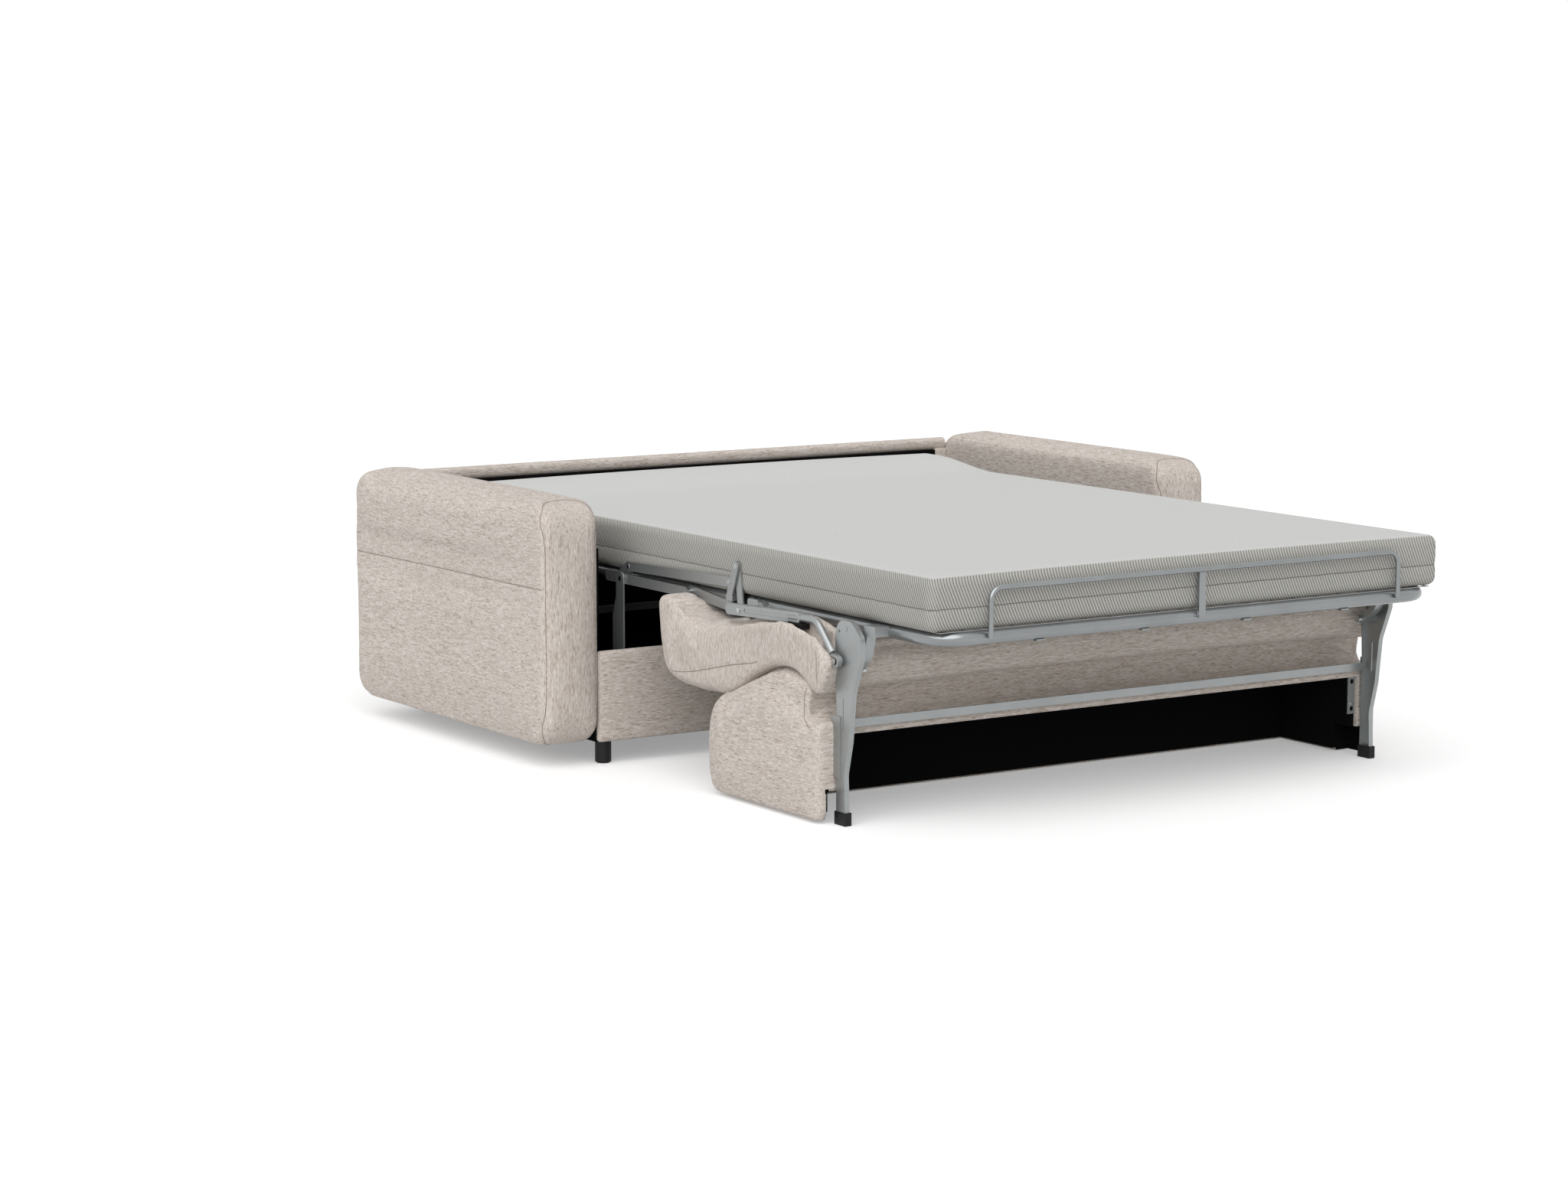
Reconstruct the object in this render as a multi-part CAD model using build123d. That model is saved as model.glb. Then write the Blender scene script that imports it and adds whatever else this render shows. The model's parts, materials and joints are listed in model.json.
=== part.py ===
"""Three-fold sofa bed, modelled open as a bed: shell, folding steel frame, mattress, flip-over seat and back.

Millimetres, +Z up. Lengths along the bed (Y) are measured from the feet of the leg blades towards
the sofa's back; every piece is shifted on writing so that the origin is at the bottom centre.
Pieces that come in pairs are modelled on the right, at positive X, and mirrored.
"""
import os
from math import atan2, cos, degrees, hypot, radians, sin

from build123d import *

# Shell
HALF_WIDTH = 964.5
ARM_WIDTH = 150.0
ARM_FRONT_Y = 871.0
SHELL_BACK_Y = 1834.0
ARM_BOTTOM_Z = 47.0
ARM_TOP_Z = 615.0
ARM_CORNER_R = 66.0
ARM_EDGE_DRAW = 30.0
ARM_PADDING = 22.0
ARM_RAIL = 40.0
ARM_FRAME_RECESS = 15.0
BOARD = 12.0
PANEL_FRONT_Y = 883.0
PANEL_PADDING = 20.0
PANEL_TOP_Z = 264.0
PANEL_BOARD_DROP = 6.0
PANEL_RADII = [4, 2, 4, 10]
EAR_ROOM = 4.0
EAR_ROOM_DROP = 75.0
BASE_Z = 52.0
RAIL_TOP_Z = 604.0
RAIL_DEPTH = 34.0
RAIL_CAP = 32.0
RAIL_RADII = [0, 6, 14, 12, 0, 0]
LINER_TOP_Z = 500.0
LEG_R = 19.0
LEG_INSET = 35.0
GLIDE_R = 15.0
GLIDE_H = 3.0
CROSSBAR_H = 18.0
CROSSBAR_T = 5.0
REAR_BAR_Z = 205.0

# Bed frame
TUBE_R = 15.0
TUBE_WALL = 1.8
TUBE_Z = 420.0
TUBE_BEND_R = 75.0
FOOT_RAIL_Y = -262.0
FRAME_GAP = 32.0
HEAD_RAIL_Y = 1690.0
NET_T = 1.2
NET_RIM = 8.0
NET_WIRE = 4.0
NET_CELL = 64.0
HOOP_R = 6.0
HOOP_INSET = 115.0
HOOP_TOP_Z = 524.0
HOOP_BEND_R = 26.0
STRIP_W = 18.0
STRIP_PROUD = 1.5
CLIP_COUNT = 4
CLIP_PITCH = 280.0
CLIP_W = 22.0
CLIP_D = 12.0
CLIP_H = 4.0

# Mattress
MATTRESS_OVERHANG = 10.0
MATTRESS_FOOT_Y = -266.0
MATTRESS_HEAD_Y = 1722.0
MATTRESS_H = 114.0
MATTRESS_EDGE_R = 14.0
MATTRESS_SIDE_R = 12.0
MATTRESS_FOLD_R = 0.5
PILLOW_RISE = 25.0
PILLOW_START_Y = 1400.0
PILLOW_TOP_Y = 1650.0
PILLOW_BLEND_R = 200.0
SEAM_RISE = 48.0
SEAM_W = 4.0
SOFT_GAP = 0.4

# Fold: the seat and foot section turn half a turn about FLIP while the swing links carry them
FLIP_Y, FLIP_Z = 690.0, 352.0
SWING_FOOT_Y = 672.0
FOLD_Y, FOLD_Z = 464.0, 500.0
HEAD_FOLD_Y = 1253.0
BLADE_PIN_Y, BLADE_PIN_Z = -10.0, 330.0
LINK_ROOT_Y, LINK_ROOT_Z = 370.0, 417.0
LINK_EYE_Y, LINK_EYE_Z = 2.0, 351.6

# Layers of the side mechanism and the gaps between them, inwards from the shell's liners
SEAT_CLEARANCE = 17.5
SEAT_SKIN = 19.5
LINK_GAP = 4.5
LINK_DEPTH = 16.0
BLADE_GAP = 4.0
BLADE_DEPTH = 12.0
BLADE_WALL = 3.0
BRACKET_GAP = 8.0
BRACKET_T = 4.0
SWING_GAP = 1.0
SWING_T = 5.0
MID_EAR_GAP = 1.4
FOOT_EAR_GAP = 1.0
EAR_T = 4.0
ARM_LINK_GAP = 2.6
ARM_LINK_T = 8.0

# Pins, eyes and welds
PIN_R = 6.0
PIVOT_R = 8.0
RUN_FIT = 0.05
BOSS_WALL = 4.0
EYE_R = 12.0
PIN_END = 0.5
PIN_PROUD = 2.0
PIVOT_TAIL = 12.0
WELD_BITE = 2.0
CUT_MARGIN = 5.0
BAR_H = 22.0
RIVET_R = 5.0
RIVET_H = 1.2

# Swing brackets and hinge arms
BRACKET_BOSS = 16.0
BRACKET_NECK = 40.0
BRACKET_FLARE = 90.0
BRACKET_RADII = [1, 1, 20, 20, 14, 14]
HINGE_ARM_DROP = 31.0
HINGE_ARM_RISE = 12.0
HINGE_ARM_NECK = 23.0
HINGE_ARM_TAB = 28.0
HINGE_ARM_TOE = 3.0
HINGE_ARM_KNEE = 10.0
HINGE_ARM_RADII = [6, 10, 20, 20, 11, 11, 20, 40, 4, 6]
ARM_GROOVE_START, ARM_GROOVE_END = 34.0, 36.0
ARM_GROOVE_DROP = 19.0

# Ears, guide links, dog-leg plates and head lugs
EAR_H = 22.0
FOOT_EAR_BEHIND = 18.0
FOOT_EAR_DROP = 18.0
MID_EAR_AHEAD = 6.0
MID_EAR_WELD = 13.0
MID_EAR_WELD_TOP = 13.0
GUIDE_START_Y, GUIDE_START_Z = -4.0, 42.0
GUIDE_END_Y, GUIDE_END_Z = 20.0, 30.0
DOG_LEG = 110.0
DOG_LEG_KNEE = 40.0
DOG_LEG_SHOULDER = 55.0
DOG_LEG_JOGGLE = 60.0
DOG_LEG_LOW = 14.0
DOG_LEG_HIGH = 12.0
DOG_LEG_GAP = 0.3
DOG_LEG_RADII = [9, 9, 12, 8, 8, 20, 9]
LUG_T = 5.0
LUG_GAP = 0.5
LUG_REACH = 40.0
LUG_WELD = 10.0

# Strap brackets, measured from the blade's pivot pin and the bed tube
STRAP_START, STRAP_END = 90.0, 50.0
STRAP_LOW, STRAP_HIGH = 9.0, 13.0
STRAP_BITE = 3.0
STRAP_T = 4.0
STRAP_ROOT = 12.0
STRAP_BOW_Y, STRAP_BOW_Z = 2.0, 62.0
STRAP_HOLLOW_Y, STRAP_HOLLOW_Z = 12.0, 56.0
STRAP_NOSE_Y, STRAP_NOSE_Z = 12.0, 4.0
STRAP_LIP = 2.0
STRAP_RADII = [1, 40, 8, 6, 8, 30, 1]

# Leg blades and their caps
CAP_H = 28.0
CAP_WALL = 2.5
BLADE_FOOT = (-17.0, 18.0)
BLADE_OUTLINE = [
    (BLADE_FOOT[0], CAP_WALL), (BLADE_FOOT[1], CAP_WALL), (16, 240), (20, 320), (22, 408), (8, 438), (-40, 438),
    (-74, 405), (-72, 360), (-42, 285), (-30, 180), (-12, 108)]
BLADE_RADII = [2, 2, 200, 60, 24, 26, 36, 22, 40, 60, 120, 60]
BLADE_HOLE_Y, BLADE_HOLE_Z = 6.0, 414.0
BLADE_HOLE_R = 3.5
BLADE_RIVET_Y, BLADE_RIVET_Z = -18.0, 421.0
BLADE_SLIT_Y = -9.0
BLADE_SLIT_Z = (205.0, 270.0)
BLADE_SLIT_W = 3.0
BLADE_BAR_Y = 8.0
BLADE_BAR_Z = 205.0

# Bent links
LINK_TAIL = 42.0
LINK_BOSS_R = 13.0
EMBOSS_H = 9.0
EMBOSS_DEPTH = 1.5
EMBOSS_START = 26.0
CHANNEL_END_Y, CHANNEL_END_Z = 140.0, 427.0
CHANNEL_H = 24.0
CHANNEL_WALL = 4.0
LINK_ROD_R = 8.0
LINK_ROD_START = (175.0, 425.6)
LINK_ROD_BEND = (74.0, 429.0)
LINK_ROD_BEND_R = 38.0
EYE_DROP_Y, EYE_DROP_Z = 12.0, 16.0
EYE_H = 28.0
EYE_INSET = 2.0
EYE_SLOT = 10.8
EYE_AHEAD = 2.0
EYE_PLAY = 3.0
TAB_Y = (118.0, 168.0)
TAB_Z = (405.0, 417.0)
TAB_SIDE = 3.0
TAB_GAP = 1.0

# Seat
SEAT_OUTLINE = [
    (19, 356), (60, 421), (215, 421), (494, 368), (585, 415), (683, 415), (683, 262), (560, 228), (440, 232),
    (300, 318), (180, 330), (76, 286)]
SEAT_RADII = [26, 60, 160, 120, 40, 34, 60, 60, 90, 100, 100, 24]
SEAT_EDGE_R = 12.0
SEAT_BOARD_GAP = 5.0
SEAT_BOARD_T = 12.0
SEAT_BOARD_FRONT_Y = 60.0
GROOVE_Z = 372.0
GROOVE_END = 25.0
SLOT_AHEAD = 20.0
SLOT_DEPTH = 24.0
SLOT_TURN = 26.0
SLOT_BEHIND = 60.0
SLOT_SIDE = 4.0
SLOT_MARGIN = 3.0
BLADE_ROOM_Y, BLADE_ROOM_Z = 140.0, 48.0

# Back
BACK_REAR_Y = 34.0
BACK_BOTTOM_Z = 10.0
BACK_STEP_Z = 217.0
BACK_OUTLINE = [
    (BACK_REAR_Y, BACK_BOTTOM_Z), (440, BACK_BOTTOM_Z), (469, 80), (462, 190), (400, 252), (290, 292),
    (190, 309), (78, 276), (78, BACK_STEP_Z), (BACK_REAR_Y, BACK_STEP_Z)]
BACK_RADII = [3, 40, 90, 70, 120, 150, 90, 20, 14, 16]
BACK_EDGE_R = 10.0
BACK_HOLLOW_Y = 290.0
BACK_HOLLOW_Z = 200.0
CHEEK_GAP = 5.0
CHEEK_BOTTOM_Z = 70.0
CHEEK_NOTCH_Y = 60.0
CHEEK_NOTCH_X = 38.0
KEY_Z = (100.0, 232.0)
KEY_PLATE_TOP_Z = 203.0
KEY_T = 2.5
KEY_INSET = 9.0
KEY_HALF_W = 12.0
KEYHOLE_Z = (112.0, 176.0)
KEYHOLE_R = 5.5
KEY_SLOT_W = 4.0
KEY_SLOT_H = 14.0
SCREW_RISE = 10.0
SCREW_HEAD_R = 4.5
SCREW_HEAD_T = 3.0
SCREW_HEAD_OUT = 4.0
SCREW_R = 1.8
SCREW_L = 16.0

# Worked out from the sizes above
ARM_INNER_X = HALF_WIDTH - ARM_WIDTH
LINER_X = ARM_INNER_X - BOARD
SEAT_X = LINER_X - SEAT_CLEARANCE
GROOVE_X = SEAT_X - SEAT_SKIN
LINK_X = GROOVE_X - LINK_GAP - LINK_DEPTH
BLADE_X = LINK_X - BLADE_GAP - BLADE_DEPTH
BRACKET_X = BLADE_X - BRACKET_GAP - BRACKET_T
SWING_X = BRACKET_X - SWING_GAP - SWING_T
MID_EAR_X = SWING_X - MID_EAR_GAP - EAR_T
FOOT_EAR_X = MID_EAR_X - FOOT_EAR_GAP - EAR_T
TUBE_SIDE_X = FOOT_EAR_X - ARM_LINK_GAP - ARM_LINK_T
TUBE_X = TUBE_SIDE_X - TUBE_R
MATTRESS_X = TUBE_SIDE_X + MATTRESS_OVERHANG
HOOP_X = TUBE_X - HOOP_INSET
SEAT_BOARD_X = TUBE_X - TUBE_R - SEAT_BOARD_GAP
BACK_CHEEK_X = BLADE_X - CHEEK_GAP
KEY_X = BACK_CHEEK_X - KEY_INSET
BACK_BOARD_Y = SHELL_BACK_Y - RAIL_DEPTH
PANEL_BOARD_Y = PANEL_FRONT_Y + PANEL_PADDING
TUBE_TOP_Z = TUBE_Z + TUBE_R
MATTRESS_Z = TUBE_TOP_Z + NET_T + SOFT_GAP
MATTRESS_TOP_Z = MATTRESS_Z + MATTRESS_H
FOOT_END_Y = FOLD_Y - FRAME_GAP
MID_START_Y = FOLD_Y + FRAME_GAP
MID_END_Y = HEAD_FOLD_Y - FRAME_GAP
HEAD_START_Y = HEAD_FOLD_Y + FRAME_GAP
SWING_Z = TUBE_Z
SWING_ROOT_Y = FLIP_Y + (SWING_Z - FLIP_Z) ** 2 / (FLIP_Y - SWING_FOOT_Y)
HOOP_Y = FOOT_RAIL_Y - TUBE_R - HOOP_R
FRONT_Y = HOOP_Y - HOOP_R
SHIFT_Y = -(FRONT_Y + SHELL_BACK_Y) / 2
FAR = 2 * SHELL_BACK_Y


def block(x, y, z):
    """Box between the corner values x, y and z, each a pair."""
    size = [pair[1] - pair[0] for pair in (x, y, z)]
    middle = [(pair[1] + pair[0]) / 2 for pair in (x, y, z)]
    return Pos(*middle) * Box(*size)


def slab(outline, x0, x1):
    """Plate with a Y-Z outline, between two values of X."""
    face = make_face(Plane.YZ * Polyline(*outline, close=True))
    return Pos(x0, 0, 0) * extrude(face, amount=x1 - x0, dir=(1, 0, 0))


def rounded_slab(outline, radii, x0, x1):
    """As slab, with a radius at each corner of the outline."""
    face = make_face(Plane.YZ * FilletPolyline(*outline, radius=radii, close=True))
    return Pos(x0, 0, 0) * extrude(face, amount=x1 - x0, dir=(1, 0, 0))


def rod(y, z, radius, x0, x1):
    """Cylinder along X."""
    return Pos((x0 + x1) / 2, y, z) * Rot(0, 90, 0) * Cylinder(radius, x1 - x0)


def rod_along_y(x, z, radius, y0, y1):
    """Cylinder along Y."""
    return Pos(x, (y0 + y1) / 2, z) * Rot(90, 0, 0) * Cylinder(radius, y1 - y0)


def bar(a, b, height, x0, x1):
    """Flat bar with round ends from a to b, both (y, z)."""
    length = hypot(b[0] - a[0], b[1] - a[1])
    turn = degrees(atan2(b[1] - a[1], b[0] - a[0]))
    shape = Pos(length / 2, 0) * SlotCenterToCenter(length, height)
    placed = Plane.YZ * Pos(a[0], a[1]) * Rot(0, 0, turn) * shape
    return Pos(x0, 0, 0) * extrude(placed, amount=x1 - x0, dir=(1, 0, 0))


def tube(points, radius, bend=0.0, wall=0.0):
    """Round tube, or a rod where there is no wall, along straight runs joined by arcs."""
    route = FilletPolyline(*points, radius=bend) if bend else Line(*points)
    section = Circle(radius) - Circle(radius - wall) if wall else Circle(radius)
    return sweep(Plane(route @ 0, z_dir=route % 0) * section, path=route)


def other_side(piece):
    """Mirror image on the left."""
    return mirror(piece, about=Plane.YZ)


def write(name, *pieces):
    """Write one node, moved to the part's own origin."""
    solids = []
    for piece in pieces:
        solids.extend((Pos(0, SHIFT_Y, 0) * piece).solids())
    shape = solids[0] if len(solids) == 1 else Compound(children=solids)
    export_step(shape, f"parts/{name}.step")


def write_pair(name, piece):
    """Write the right and left nodes of a mirrored pair."""
    write(name.replace("SIDE", "right"), piece)
    write(name.replace("SIDE", "left"), other_side(piece))


def write_both(name, *pieces):
    """Write right-hand pieces and their mirror images as one node."""
    write(name, *pieces, *[other_side(piece) for piece in pieces])


# Shell: arms, panels, base and legs


def arm_box():
    """Room for the wooden arm frame inside the upholstery, which is open below."""
    x = (ARM_INNER_X + ARM_PADDING, HALF_WIDTH - ARM_PADDING)
    y = (ARM_FRONT_Y + 2 * ARM_PADDING, SHELL_BACK_Y - 2 * ARM_PADDING)
    return x, y, (ARM_BOTTOM_Z, ARM_TOP_Z - 2 * ARM_PADDING)


def arm_frame():
    """Wooden frame of the arm, set back a little from the opening under it."""
    x, y, z = arm_box()
    low = z[0] + ARM_FRAME_RECESS
    inside = block(x, (y[0] + ARM_RAIL, y[1] - ARM_RAIL), (low + ARM_RAIL, z[1] - ARM_RAIL))
    return block(x, y, (low, z[1])) - inside


def arm_upholstery():
    """Pillow-shaped arm: rounded side outline, drawn in towards its two faces."""
    depth = SHELL_BACK_Y - ARM_FRONT_Y
    height = ARM_TOP_Z - ARM_BOTTOM_Z
    middle_y, middle_z = (SHELL_BACK_Y + ARM_FRONT_Y) / 2, (ARM_TOP_Z + ARM_BOTTOM_Z) / 2
    half = ARM_WIDTH / 2
    sections = []
    for angle in (-90, -60, -30, 0, 30, 60, 90):
        middle_x = ARM_INNER_X + half + half * sin(radians(angle))
        draw = ARM_EDGE_DRAW * (1 - cos(radians(angle)))
        outline = RectangleRounded(depth - 2 * draw, height - 2 * draw, ARM_CORNER_R - draw / 2)
        place = Plane(origin=(middle_x, middle_y, middle_z), x_dir=(0, 1, 0), z_dir=(1, 0, 0))
        sections.append(place * outline)
    return loft(sections) - block(*arm_box())


def front_panel():
    """Padded front and its board, which is notched for the folded ears."""
    outline = [
        (PANEL_FRONT_Y, BASE_Z), (PANEL_BOARD_Y, BASE_Z), (PANEL_BOARD_Y, PANEL_TOP_Z),
        (PANEL_FRONT_Y, PANEL_TOP_Z)]
    upholstery = rounded_slab(outline, PANEL_RADII, -ARM_INNER_X, ARM_INNER_X)
    board_y = (PANEL_BOARD_Y, PANEL_BOARD_Y + BOARD)
    board = block((-LINER_X, LINER_X), board_y, (BASE_Z, PANEL_TOP_Z - PANEL_BOARD_DROP))
    folded_z = 2 * FLIP_Z - FOLD_Z
    room = block((FOOT_EAR_X - EAR_ROOM, SWING_X), (0, FAR), (folded_z - EAR_ROOM_DROP, FAR))
    return upholstery, board - room - other_side(room)


def back_panel():
    """Fabric back with a padded cap over the black back board."""
    cover_y = BACK_BOARD_Y + BOARD
    cap_z = RAIL_TOP_Z - RAIL_CAP
    outline = [
        (cover_y, BASE_Z), (SHELL_BACK_Y, BASE_Z), (SHELL_BACK_Y, RAIL_TOP_Z),
        (BACK_BOARD_Y, RAIL_TOP_Z), (BACK_BOARD_Y, cap_z), (cover_y, cap_z)]
    upholstery = rounded_slab(outline, RAIL_RADII, -ARM_INNER_X, ARM_INNER_X)
    board = block((-LINER_X, LINER_X), (BACK_BOARD_Y, cover_y), (BASE_Z, cap_z))
    return upholstery, board


def base_panel():
    y = (PANEL_BOARD_Y + BOARD, BACK_BOARD_Y)
    return block((-LINER_X, LINER_X), y, (BASE_Z, BASE_Z + BOARD))


def side_liner():
    y = (PANEL_BOARD_Y, BACK_BOARD_Y + BOARD)
    return block((LINER_X, ARM_INNER_X), y, (BASE_Z, LINER_TOP_Z))


def leg_places():
    x = LINER_X - LEG_INSET + LEG_R
    front = PANEL_BOARD_Y + BOARD
    rear = BACK_BOARD_Y - LEG_R
    return [(side * x, y) for side in (-1, 1) for y in (front, rear)]


def legs():
    height = BASE_Z - GLIDE_H
    return [Pos(x, y, GLIDE_H + height / 2) * Cylinder(LEG_R, height) for x, y in leg_places()]


def glides():
    return [Pos(x, y, GLIDE_H / 2) * Cylinder(GLIDE_R, GLIDE_H) for x, y in leg_places()]


def swing_bracket():
    """Pressed bracket that stands on the base and carries the swing link's upper pivot."""
    foot_z = BASE_Z + BOARD
    front, neck, rear = [SWING_ROOT_Y + shift * BRACKET_BOSS for shift in (-1, 1, 2)]
    outline = [
        (front, foot_z), (rear, foot_z), (rear, SWING_Z - BRACKET_FLARE), (neck, SWING_Z - BRACKET_NECK),
        (neck, SWING_Z + BRACKET_BOSS), (front, SWING_Z + BRACKET_BOSS)]
    plate = rounded_slab(outline, BRACKET_RADII, BRACKET_X, BRACKET_X + BRACKET_T)
    foot = block((BRACKET_X, LINER_X), (front, rear), (foot_z, foot_z + BRACKET_T))
    return plate + foot - rod(SWING_ROOT_Y, SWING_Z, PIN_R, BRACKET_X, BRACKET_X + BRACKET_T)


def swing_pin():
    return rod(SWING_ROOT_Y, SWING_Z, PIN_R, SWING_X - PIN_END, BRACKET_X + BRACKET_T)


def rear_crossbar():
    y = (BACK_BOARD_Y - CROSSBAR_T, BACK_BOARD_Y)
    return block((-LINER_X, LINER_X), y, (REAR_BAR_Z, REAR_BAR_Z + CROSSBAR_H))


# Swing links


def swing_link():
    link = bar((SWING_FOOT_Y, SWING_Z), (SWING_ROOT_Y, SWING_Z), BAR_H, SWING_X, SWING_X + SWING_T)
    for y in (SWING_FOOT_Y, SWING_ROOT_Y):
        link -= rod(y, SWING_Z, PIN_R + RUN_FIT, SWING_X, SWING_X + SWING_T)
    return link


# Foot section


def net(y0, y1):
    """Welded wire net: one sheet with a grid of openings, its rim on the tubes."""
    width, length = 2 * TUBE_X, y1 - y0
    columns = round(width / NET_CELL)
    rows = round(length / NET_CELL)
    pitch_x, pitch_y = (width - NET_RIM) / columns, (length - NET_RIM) / rows
    opening = Rectangle(pitch_x - NET_WIRE, pitch_y - NET_WIRE)
    face = Rectangle(width, length) - GridLocations(pitch_x, pitch_y, columns, rows) * opening
    return Pos(0, (y0 + y1) / 2, TUBE_TOP_Z) * extrude(face, amount=NET_T)


def frame_bow(open_y, rail_y):
    """Tube bent to a U: two side runs from open_y and the end rail at rail_y."""
    corners = [(-TUBE_X, open_y), (-TUBE_X, rail_y), (TUBE_X, rail_y), (TUBE_X, open_y)]
    return tube([(x, y, TUBE_Z) for x, y in corners], TUBE_R, TUBE_BEND_R, TUBE_WALL)


def cross_tube(y):
    return tube([(-TUBE_SIDE_X, y, TUBE_Z), (TUBE_SIDE_X, y, TUBE_Z)], TUBE_R, wall=TUBE_WALL)


def end_hoop():
    """Rod hoop that keeps the mattress from sliding off the foot rail."""
    corners = [(-HOOP_X, TUBE_Z), (-HOOP_X, HOOP_TOP_Z), (HOOP_X, HOOP_TOP_Z), (HOOP_X, TUBE_Z)]
    return tube([(x, HOOP_Y, z) for x, z in corners], HOOP_R, HOOP_BEND_R)


def hoop_strip():
    """Flat strip from the middle of the foot rail up to the hoop."""
    y = (HOOP_Y - STRIP_PROUD, HOOP_Y + HOOP_R)
    return block((-STRIP_W / 2, STRIP_W / 2), y, (TUBE_Z, HOOP_TOP_Z - HOOP_R))


def rail_clips():
    """Small spring clips under the foot rail."""
    y = (FOOT_RAIL_Y - CLIP_D / 2, FOOT_RAIL_Y + CLIP_D / 2)
    z = (TUBE_Z - TUBE_R - CLIP_H, TUBE_Z - TUBE_R)
    pieces = []
    for place in range(CLIP_COUNT):
        x = (place - (CLIP_COUNT - 1) / 2) * CLIP_PITCH
        pieces.append(block((x - CLIP_W / 2, x + CLIP_W / 2), y, z))
    return pieces


def hinge_arm():
    """Pressed arm on the foot tube that reaches back to the swing link."""
    low, high = TUBE_Z - HINGE_ARM_DROP, TUBE_Z + HINGE_ARM_RISE
    neck = low + HINGE_ARM_NECK
    tab = FOOT_END_Y - TUBE_R - HINGE_ARM_TAB
    outline = [
        (tab, high), (tab, low + HINGE_ARM_TOE), (FOLD_Y - HINGE_ARM_KNEE, low),
        (SWING_FOOT_Y, SWING_Z - EYE_R), (SWING_FOOT_Y + EYE_R, SWING_Z - EYE_R),
        (SWING_FOOT_Y + EYE_R, SWING_Z + EYE_R), (SWING_FOOT_Y - EYE_R, SWING_Z + EYE_R),
        (FOLD_Y, neck), (FOOT_END_Y, neck), (FOOT_END_Y, high)]
    x = (TUBE_SIDE_X, TUBE_SIDE_X + ARM_LINK_T)
    groove_z = SWING_Z - ARM_GROOVE_DROP
    groove = [(FOLD_Y + ARM_GROOVE_START, groove_z), (SWING_FOOT_Y - ARM_GROOVE_END, groove_z + EMBOSS_H)]
    arm = rounded_slab(outline, HINGE_ARM_RADII, *x) - bar(*groove, EMBOSS_H, x[1] - EMBOSS_DEPTH, x[1])
    return arm - rod(SWING_FOOT_Y, SWING_Z, PIN_R, *x)


def foot_ear():
    """Upright ear on the hinge arm, with the fold hinge above the net."""
    root = (FOOT_END_Y + FOOT_EAR_BEHIND, TUBE_Z - FOOT_EAR_DROP)
    x = (FOOT_EAR_X, FOOT_EAR_X + EAR_T)
    spacer = rod(*root, EAR_H / 2, TUBE_SIDE_X + ARM_LINK_T, FOOT_EAR_X)
    return bar(root, (FOLD_Y, FOLD_Z), EAR_H, *x) + spacer - rod(FOLD_Y, FOLD_Z, PIN_R, *x)


def link_boss():
    """Boss welded to the foot tube that carries the bent link's root pin."""
    x = (TUBE_SIDE_X - WELD_BITE, FOOT_EAR_X + EAR_T)
    reach = (LINK_ROOT_Y - LINK_BOSS_R - CUT_MARGIN, LINK_ROOT_Y + LINK_BOSS_R + CUT_MARGIN)
    boss = rod(LINK_ROOT_Y, LINK_ROOT_Z, LINK_BOSS_R, *x) - rod_along_y(TUBE_X, TUBE_Z, TUBE_R, *reach)
    return boss - rod(LINK_ROOT_Y, LINK_ROOT_Z, PIN_R, *x)


def strap_bracket():
    """Bracket round the foot tube, with the curved strap that carries the blade's pivot pin."""
    x = (TUBE_SIDE_X - STRAP_BITE, BACK_CHEEK_X)
    start, end = BLADE_PIN_Y - STRAP_START, BLADE_PIN_Y - STRAP_END
    low = TUBE_Z - STRAP_LOW
    saddle = block(x, (start, end), (low, TUBE_Z + STRAP_HIGH))
    saddle -= rod_along_y(TUBE_X, TUBE_Z, TUBE_R, start - CUT_MARGIN, end + CUT_MARGIN)
    around = PIVOT_R + STRAP_T
    outline = [
        (end - STRAP_ROOT, low), (end + STRAP_BOW_Y, TUBE_Z - STRAP_BOW_Z), (BLADE_PIN_Y, BLADE_PIN_Z - around),
        (BLADE_PIN_Y + STRAP_NOSE_Y, BLADE_PIN_Z - STRAP_NOSE_Z),
        (BLADE_PIN_Y + STRAP_LIP, BLADE_PIN_Z + around),
        (end + STRAP_HOLLOW_Y, TUBE_Z - STRAP_HOLLOW_Z), (end, low)]
    strap = rounded_slab(outline, STRAP_RADII, FOOT_EAR_X, x[1])
    return saddle + strap - rod(BLADE_PIN_Y, BLADE_PIN_Z, PIVOT_R, *x)


def blade_pin():
    end = BLADE_X + BLADE_DEPTH - BLADE_WALL - PIN_END
    return rod(BLADE_PIN_Y, BLADE_PIN_Z, PIVOT_R, FOOT_EAR_X - PIVOT_TAIL, end)


def foot_pins():
    """Pins at the swing link, the fold hinge and the bent link's root."""
    swing = rod(SWING_FOOT_Y, SWING_Z, PIN_R, TUBE_SIDE_X, SWING_X + SWING_T + PIN_END)
    fold = rod(FOLD_Y, FOLD_Z, PIN_R, FOOT_EAR_X, MID_EAR_X + EAR_T + PIN_END)
    root = rod(LINK_ROOT_Y, LINK_ROOT_Z, PIN_R, TUBE_SIDE_X, LINK_X + LINK_DEPTH + PIN_PROUD)
    return [swing, fold, root]


def seat_board():
    z = TUBE_Z - TUBE_R
    y = (SEAT_BOARD_FRONT_Y, FOOT_END_Y - TUBE_R)
    return block((-SEAT_BOARD_X, SEAT_BOARD_X), y, (z - SEAT_BOARD_T, z))


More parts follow.
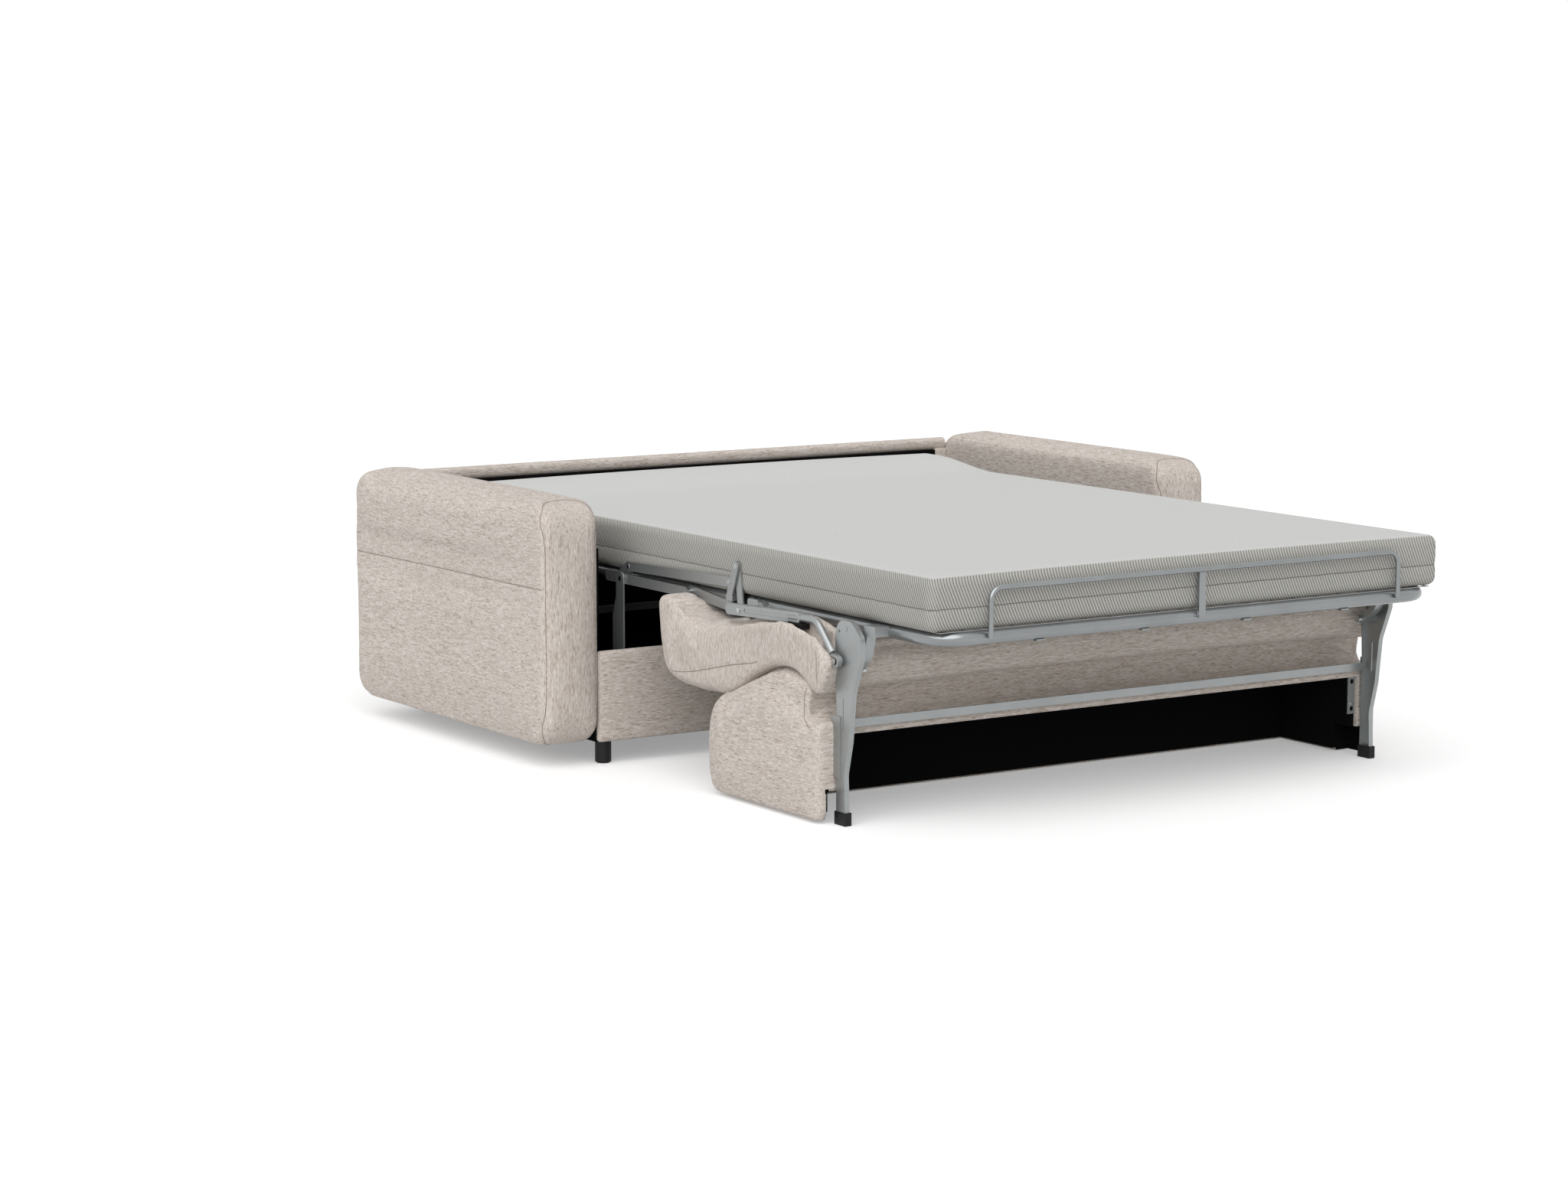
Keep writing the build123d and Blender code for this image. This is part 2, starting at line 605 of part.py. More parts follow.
def seat_cushion():
    """S-shaped seat, hung upside down under the foot section, grooved for the side mechanism."""
    body = rounded_slab(SEAT_OUTLINE, SEAT_RADII, -SEAT_X, SEAT_X)
    body = fillet(body.faces().filter_by(Axis.X).edges(), SEAT_EDGE_R)
    under_tube = TUBE_Z - TUBE_R - SOFT_GAP
    body -= block((-FOOT_EAR_X, FOOT_EAR_X), (-FAR, FAR), (under_tube, FAR))
    body -= seat_board()
    root_y, root_z = 2 * FLIP_Y - SWING_ROOT_Y, 2 * FLIP_Z - SWING_Z - SLOT_DEPTH
    ahead = SWING_FOOT_Y + SLOT_AHEAD
    link_slot = [
        (ahead, FAR), (ahead, SWING_Z - SLOT_DEPTH), (root_y + SLOT_TURN, root_z),
        (root_y - SLOT_BEHIND, root_z), (root_y - SLOT_BEHIND, FAR)]
    arm_x = (TUBE_SIDE_X - SLOT_MARGIN, FOOT_EAR_X + SLOT_MARGIN)
    arm_z = TUBE_Z - HINGE_ARM_DROP - SLOT_MARGIN
    groove_end = LINK_ROOT_Y + LINK_TAIL + GROOVE_END
    cuts = [
        slab(link_slot, SWING_X - SLOT_SIDE, BRACKET_X + BRACKET_T + SLOT_MARGIN),
        block(arm_x, (LINK_ROOT_Y, FAR), (arm_z, FAR)),
        block((FOOT_EAR_X, GROOVE_X), (-FAR, groove_end), (GROOVE_Z, FAR)),
        block((BACK_CHEEK_X, GROOVE_X), (-FAR, BLADE_PIN_Y + BLADE_ROOM_Y), (BLADE_PIN_Z - BLADE_ROOM_Z, FAR))]
    for cut in cuts:
        body = body - cut - other_side(cut)
    return body


def mattress_slice(y0, y1):
    """Mattress profile between two fold lines, rounded along the long edges, with the border's seam."""
    bottom, top = MATTRESS_Z, MATTRESS_TOP_Z
    fold, edge = MATTRESS_FOLD_R, MATTRESS_EDGE_R
    if y1 > PILLOW_TOP_Y:
        raised = top + PILLOW_RISE
        outline = [
            (y0, bottom), (y1, bottom), (y1, raised), (PILLOW_TOP_Y, raised), (PILLOW_START_Y, top), (y0, top)]
        radii = [fold, edge, edge, PILLOW_BLEND_R, PILLOW_BLEND_R, fold]
    else:
        front = edge if y0 == MATTRESS_FOOT_Y else fold
        outline = [(y0, bottom), (y1, bottom), (y1, top), (y0, top)]
        radii = [front, fold, fold, front]
    body = rounded_slab(outline, radii, -MATTRESS_X, MATTRESS_X)
    long_edges = body.faces().filter_by(Axis.X).edges().filter_by(lambda e: e.length > 3 * edge)
    level_edges = [e for e in long_edges if abs((e % 0.5).Z) < 0.5]
    body = fillet(level_edges, MATTRESS_SIDE_R)
    seam_x = (MATTRESS_X - SEAM_W / 2, MATTRESS_X + SEAM_W)
    seam_z = (bottom + SEAM_RISE - SEAM_W / 2, bottom + SEAM_RISE + SEAM_W / 2)
    groove = block(seam_x, (-FAR, FAR), seam_z)
    return body - groove - other_side(groove)


# Middle and head sections


def mid_frame():
    """Ladder of two cross tubes and two side tubes."""
    run = (MID_START_Y + TUBE_R, MID_END_Y - TUBE_R)
    sides = [tube([(x, y, TUBE_Z) for y in run], TUBE_R, wall=TUBE_WALL) for x in (-TUBE_X, TUBE_X)]
    return [cross_tube(MID_START_Y), cross_tube(MID_END_Y), *sides]


def mid_ear():
    """Ear on the middle section: fold hinge, and the end of the guide link."""
    root_y, root_z = MID_START_Y - MID_EAR_AHEAD, TUBE_Z + EAR_H / 2
    x = (MID_EAR_X, MID_EAR_X + EAR_T)
    weld_y = (root_y - MID_EAR_WELD, root_y + MID_EAR_WELD)
    weld = block((TUBE_SIDE_X - WELD_BITE, x[1]), weld_y, (TUBE_Z, TUBE_Z + MID_EAR_WELD_TOP))
    weld -= rod_along_y(TUBE_X, TUBE_Z, TUBE_R, weld_y[0] - CUT_MARGIN, weld_y[1] + CUT_MARGIN)
    weld -= rod(MID_START_Y, TUBE_Z, TUBE_R, 0, TUBE_SIDE_X)
    plate = bar((root_y, root_z), (FOLD_Y, FOLD_Z), EAR_H, *x)
    return plate + weld - rod(FOLD_Y, FOLD_Z, PIN_R + RUN_FIT, *x)


def guide_ends():
    start = (MID_START_Y + GUIDE_START_Y, TUBE_Z + GUIDE_START_Z)
    return start, (SWING_ROOT_Y - GUIDE_END_Y, TUBE_Z + GUIDE_END_Z)


def guide_link():
    """Long channel link beside the mattress, from the ear to the dog-leg plate."""
    start, end = guide_ends()
    return bar(start, end, BAR_H, MID_EAR_X, MID_EAR_X + EAR_T) - mid_ear()


def dog_leg_plate():
    """Bent plate at the link's far end, fixed to the middle section's side tube."""
    _, (end_y, end_z) = guide_ends()
    half = BAR_H / 2
    low, high = TUBE_Z - DOG_LEG_LOW, TUBE_Z + DOG_LEG_HIGH
    outline = [
        (end_y - half, end_z + half), (end_y - half, end_z - half), (end_y + DOG_LEG_KNEE, low),
        (end_y + DOG_LEG, low), (end_y + DOG_LEG, high), (end_y + DOG_LEG_SHOULDER, high),
        (end_y + half, end_z + half)]
    plate = rounded_slab(outline, DOG_LEG_RADII, TUBE_SIDE_X, MID_EAR_X - DOG_LEG_GAP)
    return plate - block((0, FOOT_EAR_X), (0, end_y + DOG_LEG_JOGGLE), (0, FAR))


def link_rivets():
    """Rivets that fix the guide link to its ear and to the dog-leg plate."""
    face = MID_EAR_X + EAR_T
    return [rod(y, z, RIVET_R, face, face + RIVET_H) for y, z in guide_ends()]


def mid_lug():
    """Lug on the middle section's side tube for the head hinge."""
    x = (TUBE_SIDE_X, TUBE_SIDE_X + LUG_T)
    lug = bar((MID_END_Y - LUG_REACH, TUBE_Z), (HEAD_FOLD_Y, TUBE_Z), BAR_H, *x)
    return lug - rod(HEAD_FOLD_Y, TUBE_Z, PIN_R, *x)


def head_lug():
    """Joggled lug on the head section, outside the middle section's lug."""
    x = (TUBE_SIDE_X + LUG_T + LUG_GAP, TUBE_SIDE_X + 2 * LUG_T)
    end = HEAD_START_Y + LUG_REACH
    lug = bar((HEAD_FOLD_Y, TUBE_Z), (end, TUBE_Z), BAR_H, *x)
    weld = block((TUBE_SIDE_X, x[0]), (HEAD_START_Y, end), (TUBE_Z - LUG_WELD, TUBE_Z + LUG_WELD))
    return lug + weld - rod(HEAD_FOLD_Y, TUBE_Z, PIN_R + RUN_FIT, *x)


def head_pin():
    return rod(HEAD_FOLD_Y, TUBE_Z, PIN_R, TUBE_SIDE_X, TUBE_SIDE_X + 2 * LUG_T + PIN_PROUD)


# Back unit: leg blades, crossbar and the hollow backrest


def leg_blade():
    """Pressed leg: a shallow tray whose rim faces inwards, with the pivot's blind boss, a slit and a rivet."""
    face = make_face(Plane.YZ * FilletPolyline(*BLADE_OUTLINE, radius=BLADE_RADII, close=True))
    x = (BLADE_X, BLADE_X + BLADE_DEPTH)
    plate = Pos(BLADE_X, 0, 0) * extrude(face, amount=BLADE_DEPTH, dir=(1, 0, 0))
    inner = offset(face, -BLADE_WALL)
    pocket = Pos(BLADE_X, 0, 0) * extrude(inner, amount=BLADE_DEPTH - BLADE_WALL, dir=(1, 0, 0))
    boss = rod(BLADE_PIN_Y, BLADE_PIN_Z, PIVOT_R + BOSS_WALL, *x)
    bore = rod(BLADE_PIN_Y, BLADE_PIN_Z, PIVOT_R + RUN_FIT, BLADE_X, x[1] - BLADE_WALL)
    holes = rod(LINK_EYE_Y, LINK_EYE_Z, PIN_R, *x) + rod(BLADE_HOLE_Y, BLADE_HOLE_Z, BLADE_HOLE_R, *x)
    slit = bar(*[(BLADE_SLIT_Y, z) for z in BLADE_SLIT_Z], BLADE_SLIT_W, *x)
    rivet = rod(BLADE_RIVET_Y, BLADE_RIVET_Z, RIVET_R, x[1], x[1] + RIVET_H)
    return plate - pocket + boss - bore - holes - slit + rivet


def eye_pin():
    """Pin on the blade that slides in the bent link's slotted eye."""
    x = (BLADE_X + BLADE_DEPTH - BLADE_WALL, LINK_X + LINK_DEPTH - EYE_INSET)
    return rod(LINK_EYE_Y, LINK_EYE_Z, PIN_R, *x)


def foot_cap():
    """Moulded cap on the blade's foot."""
    x = (BLADE_X, BLADE_X + BLADE_DEPTH)
    outer_x, outer_y = [(low - CAP_WALL, high + CAP_WALL) for low, high in (x, BLADE_FOOT)]
    return block(outer_x, outer_y, (0, CAP_H)) - block(x, BLADE_FOOT, (CAP_WALL, CAP_H))


def blade_crossbar():
    """Flat bar between the two leg blades, under the backrest's step."""
    y = (BLADE_BAR_Y, BLADE_BAR_Y + CROSSBAR_T)
    return block((-BLADE_X, BLADE_X), y, (BLADE_BAR_Z, BLADE_BAR_Z + CROSSBAR_H))


def keyhole_bracket():
    """Angle plate with two keyholes that hangs the backrest on the blade."""
    inner, outer = BLADE_X + BLADE_DEPTH, BLADE_X + BLADE_DEPTH + KEY_T
    plate = block((KEY_X - KEY_HALF_W, outer), (BACK_REAR_Y - KEY_T, BACK_REAR_Y), (KEY_Z[0], KEY_PLATE_TOP_Z))
    flange = block((inner, outer), (0, BACK_REAR_Y), KEY_Z)
    slot_x = (KEY_X - KEY_SLOT_W / 2, KEY_X + KEY_SLOT_W / 2)
    cut_y = (BACK_REAR_Y - 2 * KEY_T, BACK_REAR_Y + KEY_T)
    for z in KEYHOLE_Z:
        plate -= rod_along_y(KEY_X, z, KEYHOLE_R, *cut_y)
        plate -= block(slot_x, cut_y, (z, z + KEY_SLOT_H))
    return plate + flange


def bracket_screws():
    """Screw heads standing in the keyholes' slots, with their shanks in the backrest."""
    middle = BACK_REAR_Y - SCREW_HEAD_OUT
    pieces = []
    for keyhole in KEYHOLE_Z:
        z = keyhole + SCREW_RISE
        head = rod_along_y(KEY_X, z, SCREW_HEAD_R, middle - SCREW_HEAD_T / 2, middle + SCREW_HEAD_T / 2)
        pieces.append(head + rod_along_y(KEY_X, z, SCREW_R, middle, middle + SCREW_L))
    return pieces


def back_boards():
    """Black-lined boards of the hollow backrest: top, front and two cheeks, cut away behind the notches."""
    x = BACK_CHEEK_X - BOARD
    top = block((-x, x), (BACK_REAR_Y, BACK_HOLLOW_Y), (BACK_HOLLOW_Z - BOARD, BACK_HOLLOW_Z))
    front = block((-x, x), (BACK_HOLLOW_Y - BOARD, BACK_HOLLOW_Y), (BACK_BOTTOM_Z, BACK_HOLLOW_Z - BOARD))
    cheek = block((x, BACK_CHEEK_X), (BACK_REAR_Y, BACK_HOLLOW_Y), (BACK_BOTTOM_Z, BACK_HOLLOW_Z))
    cheek -= block((x, BACK_CHEEK_X), (0, BACK_REAR_Y + CHEEK_NOTCH_Y), (0, CHEEK_BOTTOM_Z))
    for screw in bracket_screws():
        cheek -= screw
    return top, front, cheek, other_side(cheek)


def back_cushion():
    """Upholstered backrest, folded down on its sitting face; hollow behind and below."""
    body = rounded_slab(BACK_OUTLINE, BACK_RADII, -SEAT_X, SEAT_X)
    body = fillet(body.faces().filter_by(Axis.X).edges(), BACK_EDGE_R)
    body -= block((-BACK_CHEEK_X, BACK_CHEEK_X), (0, BACK_HOLLOW_Y), (0, BACK_HOLLOW_Z))
    notch_x = (BACK_CHEEK_X - WELD_BITE, BACK_CHEEK_X + CHEEK_NOTCH_X)
    notch = block(notch_x, (0, BACK_REAR_Y + CHEEK_NOTCH_Y), (0, CHEEK_BOTTOM_Z))
    return body - notch - other_side(notch)


# Bent links


def bent_link():
    """Channel that turns into a round rod bent down to a slotted eye on the blade."""
    x = (LINK_X, LINK_X + LINK_DEPTH)
    channel_end = (CHANNEL_END_Y, CHANNEL_END_Z)
    slope = (CHANNEL_END_Z - LINK_ROOT_Z) / (LINK_ROOT_Y - CHANNEL_END_Y)
    tail = (LINK_ROOT_Y + LINK_TAIL, LINK_ROOT_Z - LINK_TAIL * slope)
    link = bar(tail, channel_end, CHANNEL_H, *x)
    link -= bar(tail, channel_end, CHANNEL_H - 2 * CHANNEL_WALL, LINK_X, x[1] - CHANNEL_WALL)
    emboss = (LINK_ROOT_Y - EMBOSS_START, LINK_ROOT_Z + EMBOSS_START * slope)
    link -= bar(emboss, channel_end, EMBOSS_H, x[1] - EMBOSS_DEPTH, x[1])
    eye_end = (LINK_EYE_Y + EYE_DROP_Y, LINK_EYE_Z + EYE_DROP_Z)
    route = [(LINK_X + LINK_DEPTH / 2, y, z) for y, z in (LINK_ROD_START, LINK_ROD_BEND, eye_end)]
    link += tube(route, LINK_ROD_R, LINK_ROD_BEND_R)
    turn = atan2(LINK_EYE_Z - LINK_ROOT_Z, LINK_EYE_Y - LINK_ROOT_Y)
    slot_ends = [
        (LINK_EYE_Y + along * cos(turn), LINK_EYE_Z + along * sin(turn)) for along in (-EYE_SLOT, EYE_AHEAD)]
    link += bar(*slot_ends, EYE_H, LINK_X + EYE_INSET, x[1] - 2 * EYE_INSET)
    link -= bar(*slot_ends, 2 * PIN_R + EYE_PLAY, *x)
    return link - rod(LINK_ROOT_Y, LINK_ROOT_Z, PIN_R + RUN_FIT, *x)


def link_tab():
    """Black stop pad clipped under the bent link."""
    return block((LINK_X - TAB_SIDE, GROOVE_X - TAB_GAP), TAB_Y, TAB_Z) - bent_link()


os.makedirs("parts", exist_ok=True)

panel_cover, panel_board = front_panel()
back_cover, back_board = back_panel()
write_pair("arm_SIDE_frame", arm_frame())
write_pair("arm_SIDE_upholstery", arm_upholstery())
write("front_panel_upholstery", panel_cover)
write("front_panel_board", panel_board)
write("back_rail_upholstery", back_cover)
write("back_board", back_board)
write("base_panel", base_panel())
write_both("side_liners", side_liner())
write("sofa_legs", *legs())
write("leg_glides", *glides())
write_pair("swing_bracket_SIDE", swing_bracket())
write_both("swing_pins", swing_pin())
write("rear_crossbar", rear_crossbar())

write_pair("swing_link_SIDE", swing_link())

write("foot_frame_tube", frame_bow(FOOT_END_Y - TUBE_R, FOOT_RAIL_Y), cross_tube(FOOT_END_Y))
write("foot_net", net(FOOT_RAIL_Y, FOOT_END_Y))
write("end_hoop", end_hoop())
write("hoop_strip", hoop_strip())
write("rail_clips", *rail_clips())
write_pair("hinge_arm_SIDE", hinge_arm())
write_both("foot_ears", foot_ear(), link_boss())
write_pair("strap_bracket_SIDE", strap_bracket())
write_both("blade_pins", blade_pin())
write_both("foot_pins", *foot_pins())
write("seat_board", seat_board())
write("seat_cushion", seat_cushion())
write("mattress_foot", mattress_slice(MATTRESS_FOOT_Y, FOLD_Y - SOFT_GAP / 2))

write("mid_frame", *mid_frame())
write("mid_net", net(MID_START_Y, MID_END_Y))
write_both("mid_ears", mid_ear())
write_pair("guide_link_SIDE", guide_link())
write_both("dog_leg_plates", dog_leg_plate())
write_both("link_rivets", *link_rivets())
write_both("mid_lugs", mid_lug())
write_both("head_hinge_pins", head_pin())
write("mattress_mid", mattress_slice(FOLD_Y + SOFT_GAP / 2, HEAD_FOLD_Y - SOFT_GAP / 2))

write("head_frame_tube", frame_bow(HEAD_START_Y + TUBE_R, HEAD_RAIL_Y), cross_tube(HEAD_START_Y))
write("head_net", net(HEAD_START_Y, HEAD_RAIL_Y))
write_both("head_lugs", head_lug())
write("mattress_head", mattress_slice(HEAD_FOLD_Y + SOFT_GAP / 2, MATTRESS_HEAD_Y))

write_pair("leg_blade_SIDE", leg_blade())
write_both("foot_caps", foot_cap())
write_both("eye_pins", eye_pin())
write("blade_crossbar", blade_crossbar())
write_both("keyhole_brackets", keyhole_bracket())
write_both("bracket_screws", *bracket_screws())
write("back_boards", *back_boards())
write("back_cushion", back_cushion())

write_pair("bent_link_SIDE", bent_link())
write_both("link_tabs", link_tab())
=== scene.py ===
"""Looks of a three-fold sofa bed shown open.

Melange upholstery, a knit mattress, silver steel and black fittings. Metres, +Z up, in the frame of the
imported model. Covers replace the plain soft solids and ride on their bodies.
"""
import json
from math import pi, radians

import bmesh
import bpy
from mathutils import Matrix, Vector, kdtree


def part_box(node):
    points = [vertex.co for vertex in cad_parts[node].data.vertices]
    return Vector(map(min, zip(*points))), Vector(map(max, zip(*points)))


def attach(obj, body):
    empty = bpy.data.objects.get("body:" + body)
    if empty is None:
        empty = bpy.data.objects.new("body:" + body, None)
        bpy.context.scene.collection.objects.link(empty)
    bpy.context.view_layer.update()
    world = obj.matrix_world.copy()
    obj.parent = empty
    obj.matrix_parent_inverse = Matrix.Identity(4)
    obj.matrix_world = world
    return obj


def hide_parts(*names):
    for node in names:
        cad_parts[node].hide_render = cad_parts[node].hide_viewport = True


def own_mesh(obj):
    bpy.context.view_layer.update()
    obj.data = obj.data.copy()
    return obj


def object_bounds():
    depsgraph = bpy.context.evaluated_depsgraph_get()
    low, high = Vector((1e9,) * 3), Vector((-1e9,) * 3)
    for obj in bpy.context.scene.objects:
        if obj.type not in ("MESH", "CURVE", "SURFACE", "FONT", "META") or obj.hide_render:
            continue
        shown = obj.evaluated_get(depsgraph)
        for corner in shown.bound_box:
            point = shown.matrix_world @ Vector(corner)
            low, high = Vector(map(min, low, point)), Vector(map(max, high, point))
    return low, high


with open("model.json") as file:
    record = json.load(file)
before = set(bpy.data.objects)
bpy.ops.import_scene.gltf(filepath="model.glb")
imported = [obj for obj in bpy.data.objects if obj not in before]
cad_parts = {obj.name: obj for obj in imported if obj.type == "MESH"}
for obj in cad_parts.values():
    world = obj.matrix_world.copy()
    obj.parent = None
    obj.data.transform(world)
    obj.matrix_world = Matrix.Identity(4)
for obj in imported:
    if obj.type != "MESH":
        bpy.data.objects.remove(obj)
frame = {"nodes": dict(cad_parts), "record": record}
cad_low, cad_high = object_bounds()
nodes = frame["nodes"]

# Camera, fitted to the photograph
CAMERA_PLACE = (-4.9922, -7.0745, 1.5236)
CAMERA_PITCH = 7.7692
CAMERA_YAW = 33.1006
CAMERA_LENS = 84.11
SENSOR = 36.0

# Studio: an even sky, one wide soft key from the left front, and a floor that shows white
SKY_LIGHT = 0.48
KEY_LIGHT = 2.25
KEY_TURN = (46.0, 0.0, -44.0)
KEY_SPREAD = 70.0
FLOOR_GLOW = 0.31

# Arms: rounded corners, the seam along the side, and the band sewn in at the front
ARM_CORNER = 0.064
ARM_EDGE = 0.026
ARM_SEAM_Z = 0.417
ARM_SEAM_HOLD = 0.05
ARM_BAND_EDGE = 0.014
ARM_BAND_TOP = 0.060
ARM_BAND_ROUND = 0.03
ARM_PUFF = 0.010

# Front panel and back rail: boards with a thin pad, and the rail's padded roll and end posts
PANEL_EDGE = 0.009
PANEL_CROWN = 0.003
PANEL_COLUMNS = 40
PANEL_ROWS = 8
RAIL_EDGE = 0.004
RAIL_ROLL = 0.013
RAIL_CUTS = 40
RAIL_POST = 0.034
RAIL_POST_PROUD = 0.008
RAIL_POST_FOOT = 0.502

# Cloth: mesh size of the covers, and how long and hard they are blown up
COVER_VOXEL = 0.010
SEAT_VOXEL = 0.0116
PUFF_FRAMES = 18
PUFF_PRESSURE = 4.0

# Seat and back
SEAT_EDGE = 0.016
SEAT_PUFF = 0.012
BACK_EDGE = 0.014
BACK_PUFF = 0.010
BACK_LIP = 0.012
# Room that the seat leaves round each bent link: across, along, and how far above its lowest point it starts
LINK_ROOM = (0.0045, 0.02, -0.045)
# How far the hollow under the bed frame stays inside the fold pins
FRAME_INSET = 0.060
# Room for the foot caps at the bottom of the back: beyond the cap, along the bed, and up
FOOT_NOTCH = (0.018, 0.06, 0.07)
BLADE_ROOM_Y = 0.100
BLADE_ROOM_Z = 0.374
CREASE_PULL = 0.006
CREASE_REACH = 0.014

# Seams
SEAM_THREAD = 0.0011
SEAM_PULL = 0.0024
SEAM_REACH = 0.012
SEAM_STEP = 0.006

# Mattress
MATTRESS_EDGE = 0.020
MATTRESS_CORNER = 0.022
MATTRESS_CROWN = 0.004
MATTRESS_SEAM = 0.048
MATTRESS_TURN = 0.02
MATTRESS_STEP = 0.04
MATTRESS_COLUMNS = 28
HEAD_RISE = 0.025
HEAD_RISE_Y = (1.40, 1.65)
RIB_PITCH = 0.0076
RIB_SLANT = 0.45


def only(obj):
    """Select this object alone and make it active."""
    if bpy.context.mode != "OBJECT":
        bpy.ops.object.mode_set(mode="OBJECT")
    bpy.ops.object.select_all(action="DESELECT")
    obj.select_set(True)
    bpy.context.view_layer.objects.active = obj


def apply_modifier(obj, kind, **settings):
    """Add a modifier, set it up and apply it."""
    only(obj)
    modifier = obj.modifiers.new(kind.lower(), kind)
    for key, value in settings.items():
        setattr(modifier, key, value)
    bpy.ops.object.modifier_apply(modifier=modifier.name)


def edit(obj):
    """Go into edit mode with this object alone."""
    only(obj)
    bpy.ops.object.mode_set(mode="EDIT")


def pick(obj, kind, test):
    """In edit mode, select the vertices, edges or faces whose middle passes the test."""
    bpy.ops.mesh.select_mode(type=kind)
    bpy.ops.mesh.select_all(action="DESELECT")
    mesh = bmesh.from_edit_mesh(obj.data)
    parts = {"VERT": mesh.verts, "EDGE": mesh.edges, "FACE": mesh.faces}[kind]
    for part in parts:
        points = [part.co] if kind == "VERT" else [v.co for v in part.verts]
        part.select_set(all(test(point) for point in points))
    mesh.select_flush_mode()
    bmesh.update_edit_mesh(obj.data)


def box_between(name, low, high):
    """A cube between two corners, with its place in its mesh."""
    if bpy.context.mode != "OBJECT":
        bpy.ops.object.mode_set(mode="OBJECT")
    bpy.ops.object.select_all(action="DESELECT")
    bpy.ops.mesh.primitive_cube_add(size=1, location=(Vector(low) + Vector(high)) / 2)
    obj = bpy.context.object
    obj.scale = Vector(high) - Vector(low)
    bpy.ops.object.transform_apply(location=True, rotation=True, scale=True)
    obj.name = name
    return obj


def near(a, b, reach=1e-4):
    return abs(a - b) < reach


def outline_solid(name, outline, x0, x1, edge):
    """A smooth closed outline in the Y-Z plane, filled, drawn out along X and rounded at both ends."""
    curve = bpy.data.curves.new(name, "CURVE")
    curve.dimensions = "3D"
    spline = curve.splines.new("NURBS")
    spline.points.add(len(outline) - 1)
    for point, (y, z) in zip(spline.points, outline):
        point.co = (x0, feet_y + y, z, 1)
    spline.use_cyclic_u = True
    spline.order_u = 3
    spline.resolution_u = 6
    obj = bpy.data.objects.new(name, curve)
    bpy.context.scene.collection.objects.link(obj)
    only(obj)
    bpy.ops.object.convert(target="MESH")
    edit(obj)
    bpy.ops.mesh.select_all(action="SELECT")
    bpy.ops.mesh.remove_doubles(threshold=1e-5)
    bpy.ops.mesh.edge_face_add()
    bpy.ops.mesh.extrude_region_move(TRANSFORM_OT_translate={"value": (x1 - x0, 0, 0)})
    bpy.ops.mesh.select_all(action="SELECT")
    bpy.ops.mesh.normals_make_consistent(inside=False)
    for x in (x0, x1):
        pick(obj, "EDGE", lambda point: near(point.x, x))
        bpy.ops.mesh.bevel(offset=edge, segments=5)
    bpy.ops.object.mode_set(mode="OBJECT")
    return obj


def cut(obj, *boxes):
    """Cut boxes, each a pair of corners, out of a solid."""
    for low, high in boxes:
        cutter = box_between("cutter", low, high)
        apply_modifier(obj, "BOOLEAN", operation="DIFFERENCE", object=cutter, solver="EXACT")
        bpy.data.objects.remove(cutter)


def even_mesh(obj, voxel, smooth_steps):
    """Turn a solid into an even quad skin, as stretched cloth."""
    only(obj)
    obj.data.remesh_voxel_size = voxel
    bpy.ops.object.voxel_remesh()
    apply_modifier(obj, "SMOOTH", factor=0.5, iterations=smooth_steps)
    bpy.ops.object.shade_smooth()


def puff(obj, held, cap):
    """Blow the cover up a little with cloth; points that pass held stay where they are sewn or glued."""
    only(obj)
    start = [vertex.co.copy() for vertex in obj.data.vertices]
    group = obj.vertex_groups.new(name="held")
    group.add([v.index for v in obj.data.vertices if held(v.co)], 1.0, "REPLACE")
    cloth = obj.modifiers.new("puff", "CLOTH")
    cloth.settings.vertex_group_mass = group.name
    cloth.settings.use_pressure = True
    cloth.settings.uniform_pressure_force = PUFF_PRESSURE
    cloth.settings.effector_weights.gravity = 0.0
    cloth.point_cache.frame_start = 1
    cloth.point_cache.frame_end = PUFF_FRAMES
    for step in range(1, PUFF_FRAMES + 1):
        bpy.context.scene.frame_set(step)
    bpy.ops.object.modifier_apply(modifier=cloth.name)
    obj.vertex_groups.clear()
    for vertex, was in zip(obj.data.vertices, start):
        move = vertex.co - was
        if move.length > cap:
            vertex.co = was + move * (cap / move.length)
    bpy.context.scene.frame_set(1)


def pull_in(cover, places, depth, reach):
    """Draw the cloth in along a line of places, most at the line and not at all a reach away."""
    tree = kdtree.KDTree(len(places))
    for index, place in enumerate(places):
        tree.insert(place, index)
    tree.balance()
    pulls = {}
    for vertex in cover.data.vertices:
        _, _, gap = tree.find(vertex.co)
        if gap < reach:
            pulls[vertex.index] = depth * (1 - gap / reach) ** 2
    normals = {index: cover.data.vertices[index].normal.copy() for index in pulls}
    for index, pull in pulls.items():
        cover.data.vertices[index].co -= normals[index] * pull


